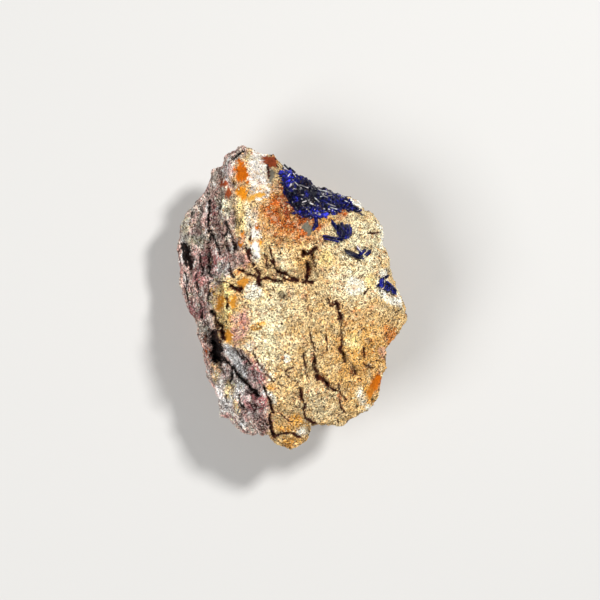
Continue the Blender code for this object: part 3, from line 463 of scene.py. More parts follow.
# Patches of colour: tone, softness of the edge, its raggedness, strength, and the ovals that
# they fill (X, Y, radii, turn). Later ones lie over earlier ones.
PATCHES = (
    (SAND, 0.9, 1.2, 0.8, ((19.4, -12.1, 8.9, 8.4, 0), (15.7, -20.9, 6.0, 7.3, 0),
        (1.3, -34.6, 5.8, 4.2, 0))),
    (CREAM, 0.9, 1.2, 0.85, ((17.5, 14.5, 8.0, 7.5, 0), (14.5, 5.0, 6.0, 5.0, 0),
        (-6.5, -7.5, 5.0, 9.0, 0))),
    (CREAM, 0.9, 1.2, 0.75, ((-7.9, -11.5, 3.1, 5.8, 0), (18.9, 10.0, 6.3, 10.0, 0),
        (-1.6, 9.4, 3.1, 3.1, 0))),
    (CREAM, 0.9, 1.2, 0.5, ((-4.2, -1.6, 7.3, 5.2, 0), (7.4, -27.2, 5.2, 4.0, 0))),
    (AMBER, 0.9, 1.4, 0.45, ((-1.0, 17.8, 6.8, 3.7, 0), (17.5, -13.6, 6.0, 5.2, 0),
        (2.1, 10.0, 2.6, 3.1, 0), (-7.9, 21.8, 3.1, 3.1, 0))),
    (RUST, 0.7, 1.0, 1, ((-2.6, 22.6, 5.4, 6.8, 10), (2.1, 19.6, 5.4, 3.6, -12),
        (12.9, 22.8, 1.3, 2.1, 0))),
    (BRICK, 0.5, 1.0, 1, ((-1.6, 26.5, 2.4, 3.9, 20), (0.0, 22.6, 2.6, 1.6, -20))),
    (AMBER, 0.4, 0.8, 0.8, ((8.9, 21.0, 2.4, 0.9, 0), (-7.6, 26.5, 2.6, 0.7, 4),
        (-15.0, 31.2, 1.6, 0.9, 0), (-10.2, 28.9, 1.0, 1.3, 0))),
    (IVORY, 0.6, 1, 0.75, ((-11.6, 20.2, 2.8, 4.6, 0),)),
    (STRAW, 0.5, 0.8, 0.9, ((-13.4, 21.2, 1.4, 5.0, 0), (8.7, 10.5, 1.8, 2.4, 0),
        (20.2, 4.7, 1.6, 2.0, 0), (16.0, -11.0, 2.1, 2.1, 0), (-10.5, 37.5, 1.6, 1.0, 0))),
    (CHALK, 0.25, 0.5, 0.95, ((-8.7, 33.8, 3.1, 5.8, 6), (-8.3, 28.3, 2.7, 2.4, 0))),
    (IVORY, 0.35, 0.7, 0.95, ((-9.7, 12.1, 1.2, 2.1, 0), (-9.4, 17.0, 1.6, 1.6, 0),
        (-11.5, 14.2, 0.8, 0.8, 0), (-10.0, 2.1, 2.4, 2.1, 0), (-10.8, -11.8, 1.6, 1.3, 0),
        (16.5, 3.7, 2.6, 2.4, 0))),
    (CREAM, 0.5, 0.8, 0.9, ((18.0, -25.2, 1.5, 2.2, 10),)),
    (IVORY, 0.35, 0.6, 1, ((25.7, 1.0, 4.2, 1.8, -40), (24.1, 6.0, 1.0, 2.4, 0),
        (17.2, 25.4, 2.2, 1.3, -35), (23.6, 16.8, 0.8, 3.4, 0), (18.1, -25.2, 1.0, 2.1, 10),
        (19.9, -28.1, 0.8, 0.8, 0), (2.6, -34.6, 1.6, 1.2, 0), (-1.3, -15.2, 1.0, 1.0, 0))),
    (BRICK, 0.5, 0.6, 0.6, ((-12.9, 31.2, 0.9, 1.0, 0),)),
    (ORANGE, 0.4, 0.7, 0.75, ((-12.7, 16.8, 0.7, 1.0, 0), (-13.4, 14.7, 0.9, 0.8, 0),
        (-9.2, 15.1, 2.2, 0.8, 4), (-8.7, 18.9, 0.9, 1.1, 0), (-16.7, 27.9, 0.7, 1.3, 0),
        (25.4, -9.2, 1.8, 2.9, 10), (22.0, -21.5, 1.4, 3.1, -14), (-14.2, 7.2, 0.9, 0.7, 0),
        (-2.4, -15.0, 0.5, 0.4, 0))),
    (AMBER, 0.4, 0.7, 0.9, ((19.9, -23.3, 1.3, 1.3, 0), (21.2, -26.2, 1.6, 1.0, 30),
        (1.3, -31.5, 1.7, 1.8, 0), (-2.4, -33.8, 2.1, 1.0, 10), (-0.5, -37.5, 2.1, 1.2, 0),
        (-5.8, -22.8, 0.9, 0.9, 0))),
    (BRICK, 0.35, 0.9, 0.85, ((-18.2, 30.6, 1.2, 0.7, 0), (7.6, -20.4, 1.5, 0.9, -35),
        (15.9, -18.6, 0.8, 1.0, 0), (20.1, -17.1, 0.9, 0.6, 0), (12.3, -3.1, 0.8, 2.0, 15),
        (5.2, -14.5, 0.5, 1.2, 0), (12.6, -25.5, 0.6, 1.0, 20))),
    (ASH, 0.6, 0.9, 0.9, ((-25.7, 18.9, 3.9, 7.1, -8), (-14.7, 37.2, 2.9, 1.6, 30),
        (-20.2, 32.5, 1.0, 2.9, -20), (-21.2, 27.8, 1.0, 2.1, 0), (-23.3, -7.3, 2.1, 2.1, 0))),
    (SLATE, 0.6, 1, 0.4, ((-24.1, -3.1, 3.1, 3.4, 0), (-20.2, 32.5, 0.8, 2.1, -20),
        (-24.1, 24.4, 1.3, 1.3, 0))),
    (BLUSH, 0.6, 0.9, 1, ((-17.8, 25.2, 2.9, 6.3, 0), (-18.6, 17.0, 2.1, 3.7, 0))),
    (CHALK, 0.4, 0.8, 0.9, ((-22.3, 22.8, 0.6, 2.9, 0), (-28.6, 16.0, 1.0, 2.1, 0),
        (-28.9, 11.0, 0.6, 2.1, 0), (-28.3, 5.2, 0.8, 2.1, 0), (-19.7, 19.4, 0.5, 0.8, 0),
        (-18.4, 7.3, 2.2, 2.8, 0), (-17.0, 33.8, 1.3, 1.6, 0))),
    (CREAM, 0.5, 0.8, 0.8, ((-28.0, 19.6, 1.4, 2.3, 0), (-25.2, 15.7, 3.0, 1.3, 0),
        (-22.9, 13.4, 0.9, 0.7, 0), (-26.9, 1.4, 0.8, 0.6, 0), (-17.4, 14.0, 0.9, 1.3, 0))),
    (MAUVE, 0.6, 0.8, 0.95, ((-20.6, 23.1, 0.6, 2.8, 0), (-22.6, 11.0, 2.9, 2.4, 0),
        (-24.7, 6.2, 1.9, 2.2, 0), (-20.3, 8.4, 1.0, 1.8, 0), (-26.4, -2.4, 1.6, 2.6, 0),
        (-23.6, -3.7, 1.4, 1.3, 0))),
    (ROSE, 0.5, 0.9, 0.95, ((-19.2, 18.1, 1.2, 2.2, 0), (-23.4, 3.2, 1.8, 2.2, 0),
        (-16.3, 11.4, 1.5, 1.8, 0), (-12.3, 10.2, 1.6, 1.8, 0))),
    (CREAM, 0.5, 0.9, 0.9, ((-17.0, 25.4, 1.6, 3.4, 0),)),
    (STRAW, 0.5, 0.9, 0.9, ((-18.4, 0.0, 2.9, 5.8, 0), (-15.5, -4.7, 3.4, 3.7, 0))),
    (AMBER, 0.35, 0.7, 0.95, ((-18.6, 0.0, 1.3, 1.7, 0), (-21.0, 2.6, 0.6, 0.9, 0),
        (-15.0, -0.8, 1.3, 1.9, 0), (-16.5, -9.7, 1.2, 1.8, 0), (-16.0, -4.5, 0.6, 1.0, 0),
        (-9.2, -7.1, 1.8, 0.9, 10), (-7.6, -6.3, 1.0, 0.7, 0))),
    (ROSE, 0.3, 0.7, 0.95, ((-13.6, -6.8, 2.4, 4.7, -12),)),
    (MAUVE, 0.5, 0.9, 0.25, ((-12.9, -8.4, 1.6, 1.6, 0), (-12.2, -5.2, 1.4, 1.5, 0))),
    (CHALK, 0.25, 0.5, 0.95, ((-13.6, -16.3, 6.3, 1.7, -52),)),
    (GREY, 0.5, 0.8, 1, ((-14.6, -16.0, 4.6, 1.4, -52),)),
    (MAUVE, 0.35, 0.6, 0.95, ((-9.6, -18.4, 4.4, 2.2, -50), (-9.7, -26.8, 3.7, 2.9, 0))),
    (IVORY, 0.3, 0.7, 0.9, ((-7.1, -18.6, 3.1, 0.7, -52), (-5.2, -25.4, 2.1, 0.8, -56),
        (-12.1, -22.3, 2.1, 0.8, -40))),
    (CHALK, 0.7, 1, 0.95, ((-15.7, -24.4, 5.0, 5.2, 0), (-10.2, -29.9, 1.8, 1.3, 0),
        (-12.9, -32.3, 1.0, 1.6, 0))),
    (OCHRE, 0.5, 0.9, 0.8, ((-16.5, -23.5, 1.4, 2.6, 0), (-14.4, -28.6, 1.0, 1.4, 0),
        (-20.2, -18.8, 1.2, 2.9, 0), (-14.7, -27.5, 1.0, 1.6, 0))),
    (ROSE, 0.5, 0.9, 0.85, ((-7.1, -31.7, 1.6, 2.4, 0),)),
    (MAUVE, 0.4, 1, 0.9, ((-9.7, -26.8, 3.4, 2.4, 10),)),
    (RUST, 0.4, 0.8, 1, ((-22.6, -12.6, 0.9, 3.6, 12),)),
    (ROSE, 0.4, 0.8, 0.6, ((23.6, -13.6, 1.2, 1.4, 0),)),
)
# Pockets filled with smooth clay or lined with ochre, without sand: tone, then X, Y, radii, turn.
CLAY_POCKETS = (
    ((0.60, 0.135, 0.0), -13.0, 33.2, 1.8, 3.7, 4), ((0.72, 0.25, 0.01), -12.9, 28.0, 1.4, 2.7, 8),
    ((0.58, 0.24, 0.03), -12.7, 4.6, 1.5, 1.5, 0), ((0.60, 0.26, 0.03), -15.2, -0.7, 0.9, 2.0, -15),
    ((0.50, 0.20, 0.02), -18.7, -0.8, 0.9, 2.4, -25), ((0.62, 0.26, 0.03), -16.5, -9.4, 1.3, 1.6, 0),
    ((0.72, 0.32, 0.03), -9.2, 15.0, 1.9, 0.6, 2), ((0.62, 0.20, 0.01), -13.0, 17.3, 0.8, 0.9, 30),
    ((0.62, 0.20, 0.01), -13.4, 14.4, 0.8, 0.6, 0), ((0.56, 0.16, 0.01), -9.1, 19.0, 0.6, 0.8, -20),
    ((0.72, 0.36, 0.06), -10.5, 26.7, 1.5, 0.8, 25), ((0.72, 0.36, 0.06), -8.3, 27.3, 2.0, 0.7, 5),
    ((0.56, 0.14, 0.005), 21.8, -21.6, 1.6, 2.5, -18), ((0.60, 0.20, 0.02), 20.4, -24.3, 1.0, 1.4, -35),
    ((0.24, 0.045, 0.015), -5.6, 36.4, 2.1, 1.7, -20), ((0.17, 0.155, 0.115), 4.2, 18.4, 1.2, 1.9, 0),
    ((0.17, 0.15, 0.11), -5.3, 32.6, 1.0, 2.0, 0), ((0.95, 0.92, 0.86), -9.2, 13.0, 0.9, 2.4, 10),
    ((0.95, 0.91, 0.80), -10.0, 17.4, 0.6, 1.5, 0), ((0.30, 0.06, 0.02), -17.9, 30.5, 1.5, 1.1, -20),
    ((0.34, 0.07, 0.02), -16.6, 27.9, 1.1, 1.7, -10),
)
# Chalky places with little sand on them: X, Y, radii, turn.
CHALKY = ((-8.7, 33.8, 3.0, 5.6, 6), (-8.3, 28.3, 2.4, 2.2, 0), (16.8, 3.6, 2.2, 2.0, 0))
# Clouds of colour down the sides and back: tone, threshold, strength, size, salt.
SIDE_CLOUDS = (
    (SAND, 0.0, 0.5, 11.0, 81), (RUST, 0.2, 0.6, 8.0, 83), (CREAM, 0.1, 0.6, 7.0, 85),
    (MAUVE, 0.12, 0.5, 9.0, 87), (ASH, 0.2, 0.5, 6.0, 89),
)
# Specks and blotches everywhere: tone, threshold, strength, size, salt, and how much of it is
# on the flank rather than the sandy face.
BLOTCHES = (
    (CREAM, 0.25, 0.35, 1.5, 101, 0.0), (SAND, 0.20, 0.5, 1.9, 103, 0.0),
    (RUST, 0.42, 0.5, 1.2, 105, 0.0), (LIVER, 0.50, 0.6, 0.8, 107, 0.0),
    (CHALK, 0.24, 0.6, 1.0, 109, 1.0), (MAUVE, 0.12, 0.5, 1.5, 111, 1.0),
    (SLATE, 0.40, 0.7, 0.9, 113, 1.0), (IVORY, 0.36, 0.8, 0.7, 115, 1.0),
)
# The azurite's edge seen from above, and how far down the side it reaches on average. Its
# sides wander below the rim's level.
CRUST_EDGE = (
    (-2.8, 31.4), (-3.0, 33.6), (-2.2, 36.0), (2.2, 35.2), (4.8, 33.4), (8.0, 32.2),
    (10.6, 31.0), (12.8, 29.4), (14.0, 27.6), (14.6, 25.8), (16.2, 24.4), (17.8, 23.2),
    (18.9, 22.2), (17.6, 22.4), (15.6, 23.7), (13.5, 23.6), (11.9, 22.2), (9.2, 21.8),
    (6.6, 21.2), (3.3, 21.6), (0.7, 23.0), (-0.7, 25.4), (-1.6, 27.5), (-2.2, 29.4),
)
CRUST_BOTTOM, CRUST_RIM = 19.0, 27.0
# Layers of noise (height, size, salt) that fray the patches' edges, tear the clay's and the
# azurite's, let the azurite's foot wander, make the stone lighter and darker at random, and
# break up the cracks' stain and painted shade.
PATCH_FRAY = ((0.42, 2.6, 91), (0.3, 1.0, 93))
CLAY_TEARS = ((0.45, 1.7, 92), (0.35, 0.8, 94))
CRUST_TEARS = ((0.9, 2.2, 99), (0.5, 0.9, 98))
CRUST_FOOT = ((-7, 7.0, 97), (-3, 2.5, 95))
STONE_SHADE = ((0.14, 2.4, 95), (0.22, 0.8, 97))
STAIN_BREAKS = ((0.42, 0.8, 97), (0.3, 0.45, 98))
# Stains and painted shade: a blue-black stain under the azurite, a dark red stain deepened
# by painted shade in the face's cracks, and black painted shade in the flank's.
CRUST_STAIN, CRACK_RED_STAIN_AND_SHADE = (0.006, 0.007, 0.03), (0.034, 0.004, 0.002)
CRACK_SHADE_BLACK = (0.004, 0.003, 0.003)
# A crack's stain and painted shade reach a little wider than the crack, and are full in all
# but the shallowest.
CRACK_STAINS_AND_SHADE = [(width * 1.1, min(1.0, depth / 0.5), *lines) for width, depth, *lines in CRACKS]


def inside(x, y, edge):
    """Whether each (x, y) is inside a closed outline, by counting the edges to its right."""
    crossed = np.zeros(x.shape, bool)
    for (ax, ay), (bx, by) in zip(edge, edge[1:] + edge[:1]):
        spans = (ay > y) != (by > y)
        with np.errstate(divide="ignore", invalid="ignore"):
            crossed ^= spans & (x < ax + (y - ay) / (by - ay) * (bx - ax))
    return crossed


def blend_colours(first, second, share):
    """Each first colour, moved towards the second by its share of the way."""
    return first + (np.array(second) - first) * share[..., None]


def plain_stone(points, flank):
    """Tan on the sandy parts, and the flank's own tone by its share."""
    return blend_colours(np.broadcast_to(np.array(TAN), points.shape), FLANK_TONE, flank)


def painted_patches(points, flank, ragged):
    """The face's and the flank's ground colour, under the patches whose ovals reach here."""
    x, y = points[..., 0], points[..., 1]
    colour = plain_stone(points, flank)
    for tone, edge, rough, strength, ovals in PATCHES:
        reach = np.min([oval_radius(x, y, shape) for shape in ovals], axis=0)
        share = np.clip((1 + edge / 2 - reach + ragged * rough) / edge, 0, 1)
        colour = blend_colours(colour, tone, share * strength)
    return colour


def crusted(points):
    """Whether each point is under the azurite, whose edges are torn."""
    x, y, z = points[..., 0], points[..., 1], points[..., 2]
    torn = layered_noise(points, CRUST_TEARS)
    torn = torn + 4 * smooth_noise(points, 6.0, 96) * np.clip((CRUST_RIM - z) / 5, 0, 1)
    foot = layered_noise(points, CRUST_FOOT, CRUST_BOTTOM)
    return inside(x + torn, y - torn, CRUST_EDGE) & (z > foot)


def oval_share(x, y, torn, shape):
    """1 within an oval, 0 outside, with a thin torn edge."""
    return np.clip((1 - oval_radius(x, y, shape) + torn) / 0.14, 0, 1)


def painted_sides(points, ragged):
    """Clouds of colour over the ground colour of the sides."""
    flank = flank_share(points, np.ones(points.shape[:-1]))
    colour = plain_stone(points, flank)
    for tone, threshold, strength, size, salt in SIDE_CLOUDS:
        cloud = smooth_noise(points, size, salt) + ragged * 0.35
        colour = blend_colours(colour, tone, np.clip((cloud - threshold) / 0.3, 0, 1) * strength)
    return colour


def stone_ground(points, side):
    """Colour of the stone, with the flank's share as a fourth value: patches on top,
    clouds on the sides, blotches over both, painted shade in hollows and along the flank's
    crevices, painted light on edges, and the clay pockets. Gives the clay's share as well."""
    x, y, flank = points[..., 0], points[..., 1], flank_share(points, side)
    ragged = layered_noise(points, PATCH_FRAY)
    colour = painted_patches(points, flank, ragged)
    colour = blend_colours(colour, painted_sides(points, ragged), np.clip((side - 0.1) * 5, 0, 1))
    layers = foliation(points)
    for tone, threshold, strength, size, salt, on_flank in BLOTCHES:
        grain = smooth_noise(layers if on_flank else points, size, salt)
        where = flank if on_flank else 1 - flank
        share = np.clip((grain - threshold) / 0.12, 0, 1) * strength * where
        colour = blend_colours(colour, tone, share)
    shade = layered_noise(points, STONE_SHADE, 1)
    # Painted shade in the skin's hollows and painted light on its edges.
    hollow = ((points - averaged(points, 5)) * averaged(grid_normals(points), 4)).sum(-1)
    shade = shade * np.clip(1 + (1.4 + 1.2 * flank) * hollow, 0.2, 1.35)
    # Painted shade along the edges of the flank's plates, where its crevices open.
    large, small = plate_edges(layers)
    crevices = 1 - np.minimum(large, small * 1.6) / 0.06
    shade = shade * (1 - 0.8 * flank * np.clip(crevices, 0, 1))
    colour = colour * np.clip(shade, 0.1, 1.6)[..., None]
    clay = np.zeros_like(flank)
    torn = layered_noise(points, CLAY_TEARS)
    cloudy = 1 + 0.25 * smooth_noise(points, 1.2, 96)
    for tone, *shape in CLAY_POCKETS:
        share = oval_share(x, y, torn, shape) * (side < 0.04)
        colour = blend_colours(colour, 0, share) + (share * cloudy)[..., None] * tone
        clay = np.maximum(clay, share)
    for shape in CHALKY:
        clay = np.maximum(clay, 0.6 * oval_share(x, y, torn, shape))
    return np.concatenate([np.clip(colour, 0.003, 1), flank[..., None]], -1), clay


def stained(points, side, ground):
    """The stone's colour with the stains and painted shade that lie on it: black painted shade
    in the flank's cracks, a dark red stain deepened by painted shade in the sandy face's, with
    brick-red stained edges, and a blue-black stain under the azurite."""
    x, y, flank = points[..., 0], points[..., 1], ground[..., 3]
    cracked = trough_depth(x, y, CRACK_STAINS_AND_SHADE, *CRACK_WANDER) * np.clip((0.35 - side) * 6, 0, 1)
    cracked = cracked + layered_noise(points, STAIN_BREAKS) * (cracked > 0.05)
    edges = np.clip((cracked - 0.2) / 0.3, 0, 0.8) * (1 - flank)
    share = np.clip((cracked - 0.35) / 0.2, 0, 0.985)[..., None]
    # Deep in the cracks: painted shade, black on the flank and over a dark red stain on the face.
    crack_stain_and_shade = blend_colours(np.broadcast_to(np.array(CRACK_RED_STAIN_AND_SHADE), points.shape), CRACK_SHADE_BLACK, flank)
    colour = blend_colours(ground[..., :3], BRICK, edges) * (1 - share) + crack_stain_and_shade * share
    colour = blend_colours(colour, CRUST_STAIN, crusted(points) * 0.93)
    return np.concatenate([colour, ground[..., 3:]], -1)


def mesh_from(name, corners, faces, colours=None, clay=None):
    """A mesh from arrays of corners and faces in millimetres. Each corner may have a colour in
    the attribute stone, whose alpha is the flank's share, and the share of clay."""
    mesh = bpy.data.meshes.new(name)
    mesh.vertices.add(len(corners))
    mesh.vertices.foreach_set("co", (corners * MM).astype(np.float32).ravel())
    mesh.loops.add(faces.size)
    mesh.loops.foreach_set("vertex_index", faces.astype(np.int32).ravel())
    mesh.polygons.add(len(faces))
    mesh.polygons.foreach_set("loop_start", np.arange(0, faces.size, faces.shape[1], dtype=np.int32))
    mesh.update(calc_edges=True)
    if colours is not None:
        layer = mesh.attributes.new("stone", "FLOAT_COLOR", "POINT")
        layer.data.foreach_set("color", colours.astype(np.float32).ravel())
    if clay is not None:
        layer = mesh.attributes.new("clay", "FLOAT", "POINT")
        layer.data.foreach_set("value", clay.astype(np.float32))
    return mesh


def show(name, mesh, finish, slot, *nodes):
    """Puts a finished mesh in the scene, riding on the body, in place of the named nodes."""
    piece = bpy.data.objects.new(name, mesh)
    bpy.context.scene.collection.objects.link(piece)
    mesh.materials.append(finish)
    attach(piece, "root")
    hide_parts(*nodes)


class Socket:
    """An outlet of a node, with the arithmetic that Math nodes do."""

    def __init__(self, finish, outlet):
        self.finish = finish
        self.outlet = outlet

    def maths(self, operation, *values):
        return self.finish.node("Math", {"operation": operation}, dict(enumerate(values)))

    def __add__(self, other):
        return self.maths("ADD", self, other)

    def __sub__(self, other):
        return self.maths("SUBTRACT", self, other)

    def __rsub__(self, other):
        return self.maths("SUBTRACT", other, self)

    def __mul__(self, other):
        return self.maths("MULTIPLY", self, other)

    __radd__ = __add__
    __rmul__ = __mul__

    def ramp(self, low, high):
        """0 below low, 1 above high and smooth between."""
        inlets = {"Value": self, "From Min": low, "From Max": high}
        return self.finish.node("MapRange", {"interpolation_type": "SMOOTHSTEP"}, inlets)


class Finish:
    """A material, and the nodes that it is built from."""

    def __init__(self, name, **constants):
        self.material = bpy.data.materials.new(name)
        self.material.use_nodes = True
        self.tree = self.material.node_tree
        self.shader = self.tree.nodes["Principled BSDF"]
        for socket, value in constants.items():
            self.inlet(socket).default_value = value

    def inlet(self, name):
        """The shader's socket, by its name in lower case with underscores."""
        return self.shader.inputs[name.replace("_", " ").title().replace("Ior", "IOR")]

    def node(self, kind, settings, inlets, outlet=0):
        """Adds a node: its settings first, then the values or links of its sockets."""
        made = self.tree.nodes.new("ShaderNode" + kind)
        for name, value in settings.items():
            setattr(made, name, value)
        for key, value in inlets.items():
            if isinstance(value, Socket):
                self.tree.links.new(value.outlet, made.inputs[key])
            else:
                made.inputs[key].default_value = value
        return Socket(self, made.outputs[outlet])

    def place(self):
        return self.node("TexCoord", {}, {}, "Object")

    def attribute(self, name, outlet="Fac"):
        return self.node("Attribute", {"attribute_name": name}, {}, outlet)

    def stone(self):
        return self.attribute("stone", "Color")

    def noise(self, at, scale, detail=2.0):
        return self.node("TexNoise", {}, {"Vector": at, "Scale": scale, "Detail": detail})

    def crossing(self, at, scale, thin, thick):
        """1 within thin of the surfaces where noise passes its middle value, 0 past thick."""
        middle = self.noise(at, scale, 3.0) - 0.5
        return 1 - middle.maths("ABSOLUTE", middle).ramp(thin, thick)

    def mix(self, share, first, second, blend="MIX"):
        settings = {"data_type": "RGBA", "blend_type": blend}
        return self.node("Mix", settings, {0: share, 6: first, 7: second}, 2)

    def shaded(self, colour, shade):
        """A colour times a number."""
        grey = self.node("CombineColor", {}, {0: shade, 1: shade, 2: shade})
        return self.mix(1.0, colour, grey, "MULTIPLY")

    def feed(self, **links):
        """Links values to the shader's sockets."""
        for socket, value in links.items():
            self.tree.links.new(value.outlet, self.inlet(socket))

    def bump(self, height, distance):
        self.feed(normal=self.node("Bump", {}, {"Height": height, "Distance": distance}))


def weathered(finish, at, colour):
    """The colour with hair-thin dark cracks where smooth noise crosses its middle: sparse
    wandering ones everywhere, and a dense set along the layers of the flank."""
    hairs = finish.crossing(at, 330.0, 0.004, 0.011) * finish.noise(at, 190.0).ramp(0.48, 0.56)
    upright = finish.node("Mapping", {}, {"Vector": at, "Scale": (1.0, 0.3, 0.6)})
    seams = finish.crossing(upright, 900.0, 0.008, 0.025) * finish.noise(at, 420.0).ramp(0.42, 0.55)
    dark = hairs.maths("MAXIMUM", hairs, seams * finish.attribute("stone", "Alpha"))
    return finish.mix(dark * 0.85, colour, (0.02, 0.006, 0.004, 1))


def stone_finish():
    """Rough sandstone: its painted colour broken into grains of a third of a millimetre, each
    a little lighter or darker, with dark specks among them that are painted shade of the small
    pits between grains."""
    finish = Finish("rough_sandstone", roughness=0.9, specular_ior_level=0.12)
    at = finish.place()
    grains = finish.node("TexVoronoi", {}, {"Vector": at, "Scale": 3400.0}, "Color")
    tone = finish.node("SeparateColor", {}, {0: grains}, 0)
    pick = finish.node("SeparateColor", {}, {0: grains}, 1)
    fine = finish.noise(at, 2400.0, 3.0)
    colour = finish.shaded(finish.stone(), (tone * 1.3 + 0.35) * (fine * 1.1 + 0.45))
    # Dark specks: painted shade of the small pits between the grains.
    colour = finish.mix(pick.ramp(0.82, 0.84) * 0.88, colour, (0.04, 0.014, 0.008, 1))
    colour = weathered(finish, at, colour)
    clay = finish.attribute("clay")
    finish.feed(base_color=finish.mix(clay * 0.85, colour, finish.shaded(finish.stone(), fine + 0.5)))
    round_grains = finish.node("TexVoronoi", {}, {"Vector": at, "Scale": 3400.0}, "Distance")
    finish.bump(fine * 0.6 - round_grains, 0.00016)
    return finish.material


SKIN_GRID = 306  # squares along each side of the grid
grid_lines = np.linspace(-1, 1, SKIN_GRID + 1)
skin_points, skin_side = skin(*np.meshgrid(grid_lines, grid_lines, indexing="ij"))
skin_normals = grid_normals(skin_points)
skin_ground, skin_clay = stone_ground(skin_points, skin_side)
skin_colours = stained(skin_points, skin_side, skin_ground)


def matrix_mesh():
    """The wrapped grid as triangles, closed under the foot by a band and a fan of triangles
    round its middle."""
    count = SKIN_GRID + 1
    index = np.arange(count * count).reshape(count, count)
    quads = np.stack([index[:-1, :-1], index[1:, :-1], index[1:, 1:], index[:-1, 1:]], -1)
    quads = quads.reshape(-1, 4)
    edge = np.concatenate([index[:-1, 0], index[-1, :-1], index[:0:-1, -1], index[0, :0:-1]])
    corners = skin_points.reshape(-1, 3)
    middle = corners[edge].mean(0)
    inner = corners[edge] * 0.5 + middle * 0.5
    here = np.arange(len(edge))
    there = np.roll(here, -1)
    first = len(corners)
    band = np.stack([edge[there], edge[here], first + here, first + there], -1)
    fan = np.stack([first + there, first + here, np.full(len(edge), first + len(edge))], -1)
    quads = np.concatenate([quads, band])
    triangles = np.concatenate([quads[:, [0, 1, 2]], quads[:, [0, 2, 3]], fan])
    under = np.broadcast_to((*TAN, 0), (len(edge) + 1, 4))
    colours = np.concatenate([skin_colours.reshape(-1, 4), under])
    clay = np.append(skin_clay.ravel(), np.zeros(len(edge) + 1))
    corners = np.concatenate([corners, inner, [middle]])
    return mesh_from("matrix_skin", corners, triangles, colours, clay)


skin_mesh = matrix_mesh()
skin_mesh.shade_smooth()
show("matrix_skin", skin_mesh, stone_finish(), "sandstone", "matrix")


# ---------------------------------------------------------------- the sand grains
# Sand that stands out of the weathered sandstone: quartz grains cemented half their depth
# in, stained like the stone round them, or paler, ochre, or black with iron. Coarse grains
# are rounded and few, and fine angular ones fill the gaps between them.

COARSE_SIZES, COARSE_GRAINS = (0.4, 0.7), 4000
FINE_SIZES, FINE_GRAINS = (0.24, 0.44), 24500
# Kinds of grain: how common each is, its tone, and how far the stone's colour is drawn to it.
GRAIN_KINDS = (
    (0.38, TAN, 0.0), (0.20, (0.95, 0.82, 0.50), 0.55), (0.23, (0.03, 0.010, 0.006), 0.92),
    (0.19, (0.74, 0.34, 0.06), 0.5),
)


def rounded_grain():
    """The twelve corners and twenty faces of a regular icosahedron of radius 1."""
    ratio = (1 + 5**0.5) / 2
    signs = np.array([(1, 1), (1, -1), (-1, 1), (-1, -1)], float)
    flat = np.stack([np.zeros(4), signs[:, 0], signs[:, 1] * ratio], -1)
    corners = np.concatenate([flat, np.roll(flat, 1, axis=1), np.roll(flat, 2, axis=1)])
    gaps = np.linalg.norm(corners[:, None] - corners[None], axis=-1)
    near = (gaps > 0.1) & (gaps < 2.1)
    faces = np.array([
        (i, j, k) for i in range(12) for j in range(i + 1, 12) for k in range(j + 1, 12)
        if near[i, j] and near[j, k] and near[i, k]
    ])
    return corners / np.linalg.norm(corners[0]), outward(corners, faces)


def angular_grain():
    """The six corners and eight faces of a regular octahedron of radius 1."""
    corners = np.concatenate([np.eye(3), -np.eye(3)])
    faces = np.array([(i, 1 + j, 2 + k) for i in (0, 3) for j in (0, 3) for k in (0, 3)])
    return corners, outward(corners, faces)


def outward(corners, faces):
    """The faces of a shape about the origin, wound so that they all face out."""
    a, b, c = (corners[faces[:, k]] for k in range(3))
    inward = (np.cross(b - a, c - a) * (a + b + c)).sum(-1) < 0
    return np.where(inward[:, None], faces[:, ::-1], faces)


def random_turns(rng, count):
    """Random rotation matrices, from random quaternions."""
    q = rng.normal(size=(4, count))
    w, x, y, z = q / np.linalg.norm(q, axis=0)
    return np.stack([
        np.stack([1 - 2 * (y * y + z * z), 2 * (x * y - z * w), 2 * (x * z + y * w)], -1),
        np.stack([2 * (x * y + z * w), 1 - 2 * (x * x + z * z), 2 * (y * z - x * w)], -1),
        np.stack([2 * (x * z - y * w), 2 * (y * z + x * w), 1 - 2 * (x * x + y * y)], -1),
    ], 1)


def places_on_skin(rng, count, weight, stray=3):
    """Random places on the skin, spread by area times a weight for each cell of its grid:
    their points and normals, and the stone's colour up to stray cells away, so that patches
    dissolve into single grains at their edges."""
    along = skin_points[1:, :-1] - skin_points[:-1, :-1]
    across = skin_points[:-1, 1:] - skin_points[:-1, :-1]
    chance = (np.linalg.norm(np.cross(along, across), axis=-1) * weight).ravel()
    i, j = np.unravel_index(rng.choice(chance.size, count, p=chance / chance.sum()), weight.shape)
    s, t = rng.random((2, count, 1))

    def at(values):
        low = values[i, j] * (1 - s) + values[i + 1, j] * s
        high = values[i, j + 1] * (1 - s) + values[i + 1, j + 1] * s
        return low * (1 - t) + high * t

    near = [np.clip(k + rng.integers(-stray, stray + 1, count), 0, SKIN_GRID) for k in (i, j)]
    points = at(skin_points)
    colours = stained(points, at(skin_side[..., None])[:, 0], skin_ground[tuple(near)])
    return points, at(skin_normals), colours


def scattered(rng, shape, centres, radii, turns, knock=0.13):
    """Copies of a small shape, each with its corners knocked in and out, stretched by its
    radii, turned and moved into place. Gives corners, faces and corners per copy."""
    corners, faces = shape
    knocked = corners * (1 + rng.normal(0, knock, (len(centres), len(corners), 1)))
    placed = np.einsum("nij,nkj->nki", turns, knocked * radii[:, None]) + centres[:, None]
    first = np.arange(len(centres))[:, None, None] * len(corners)
    return placed.reshape(-1, 3), (faces + first).reshape(-1, 3), len(corners)


DARK_STAIN_AND_SHADE = 0.12  # the sum of a colour's channels under which it is dark stain and painted shade
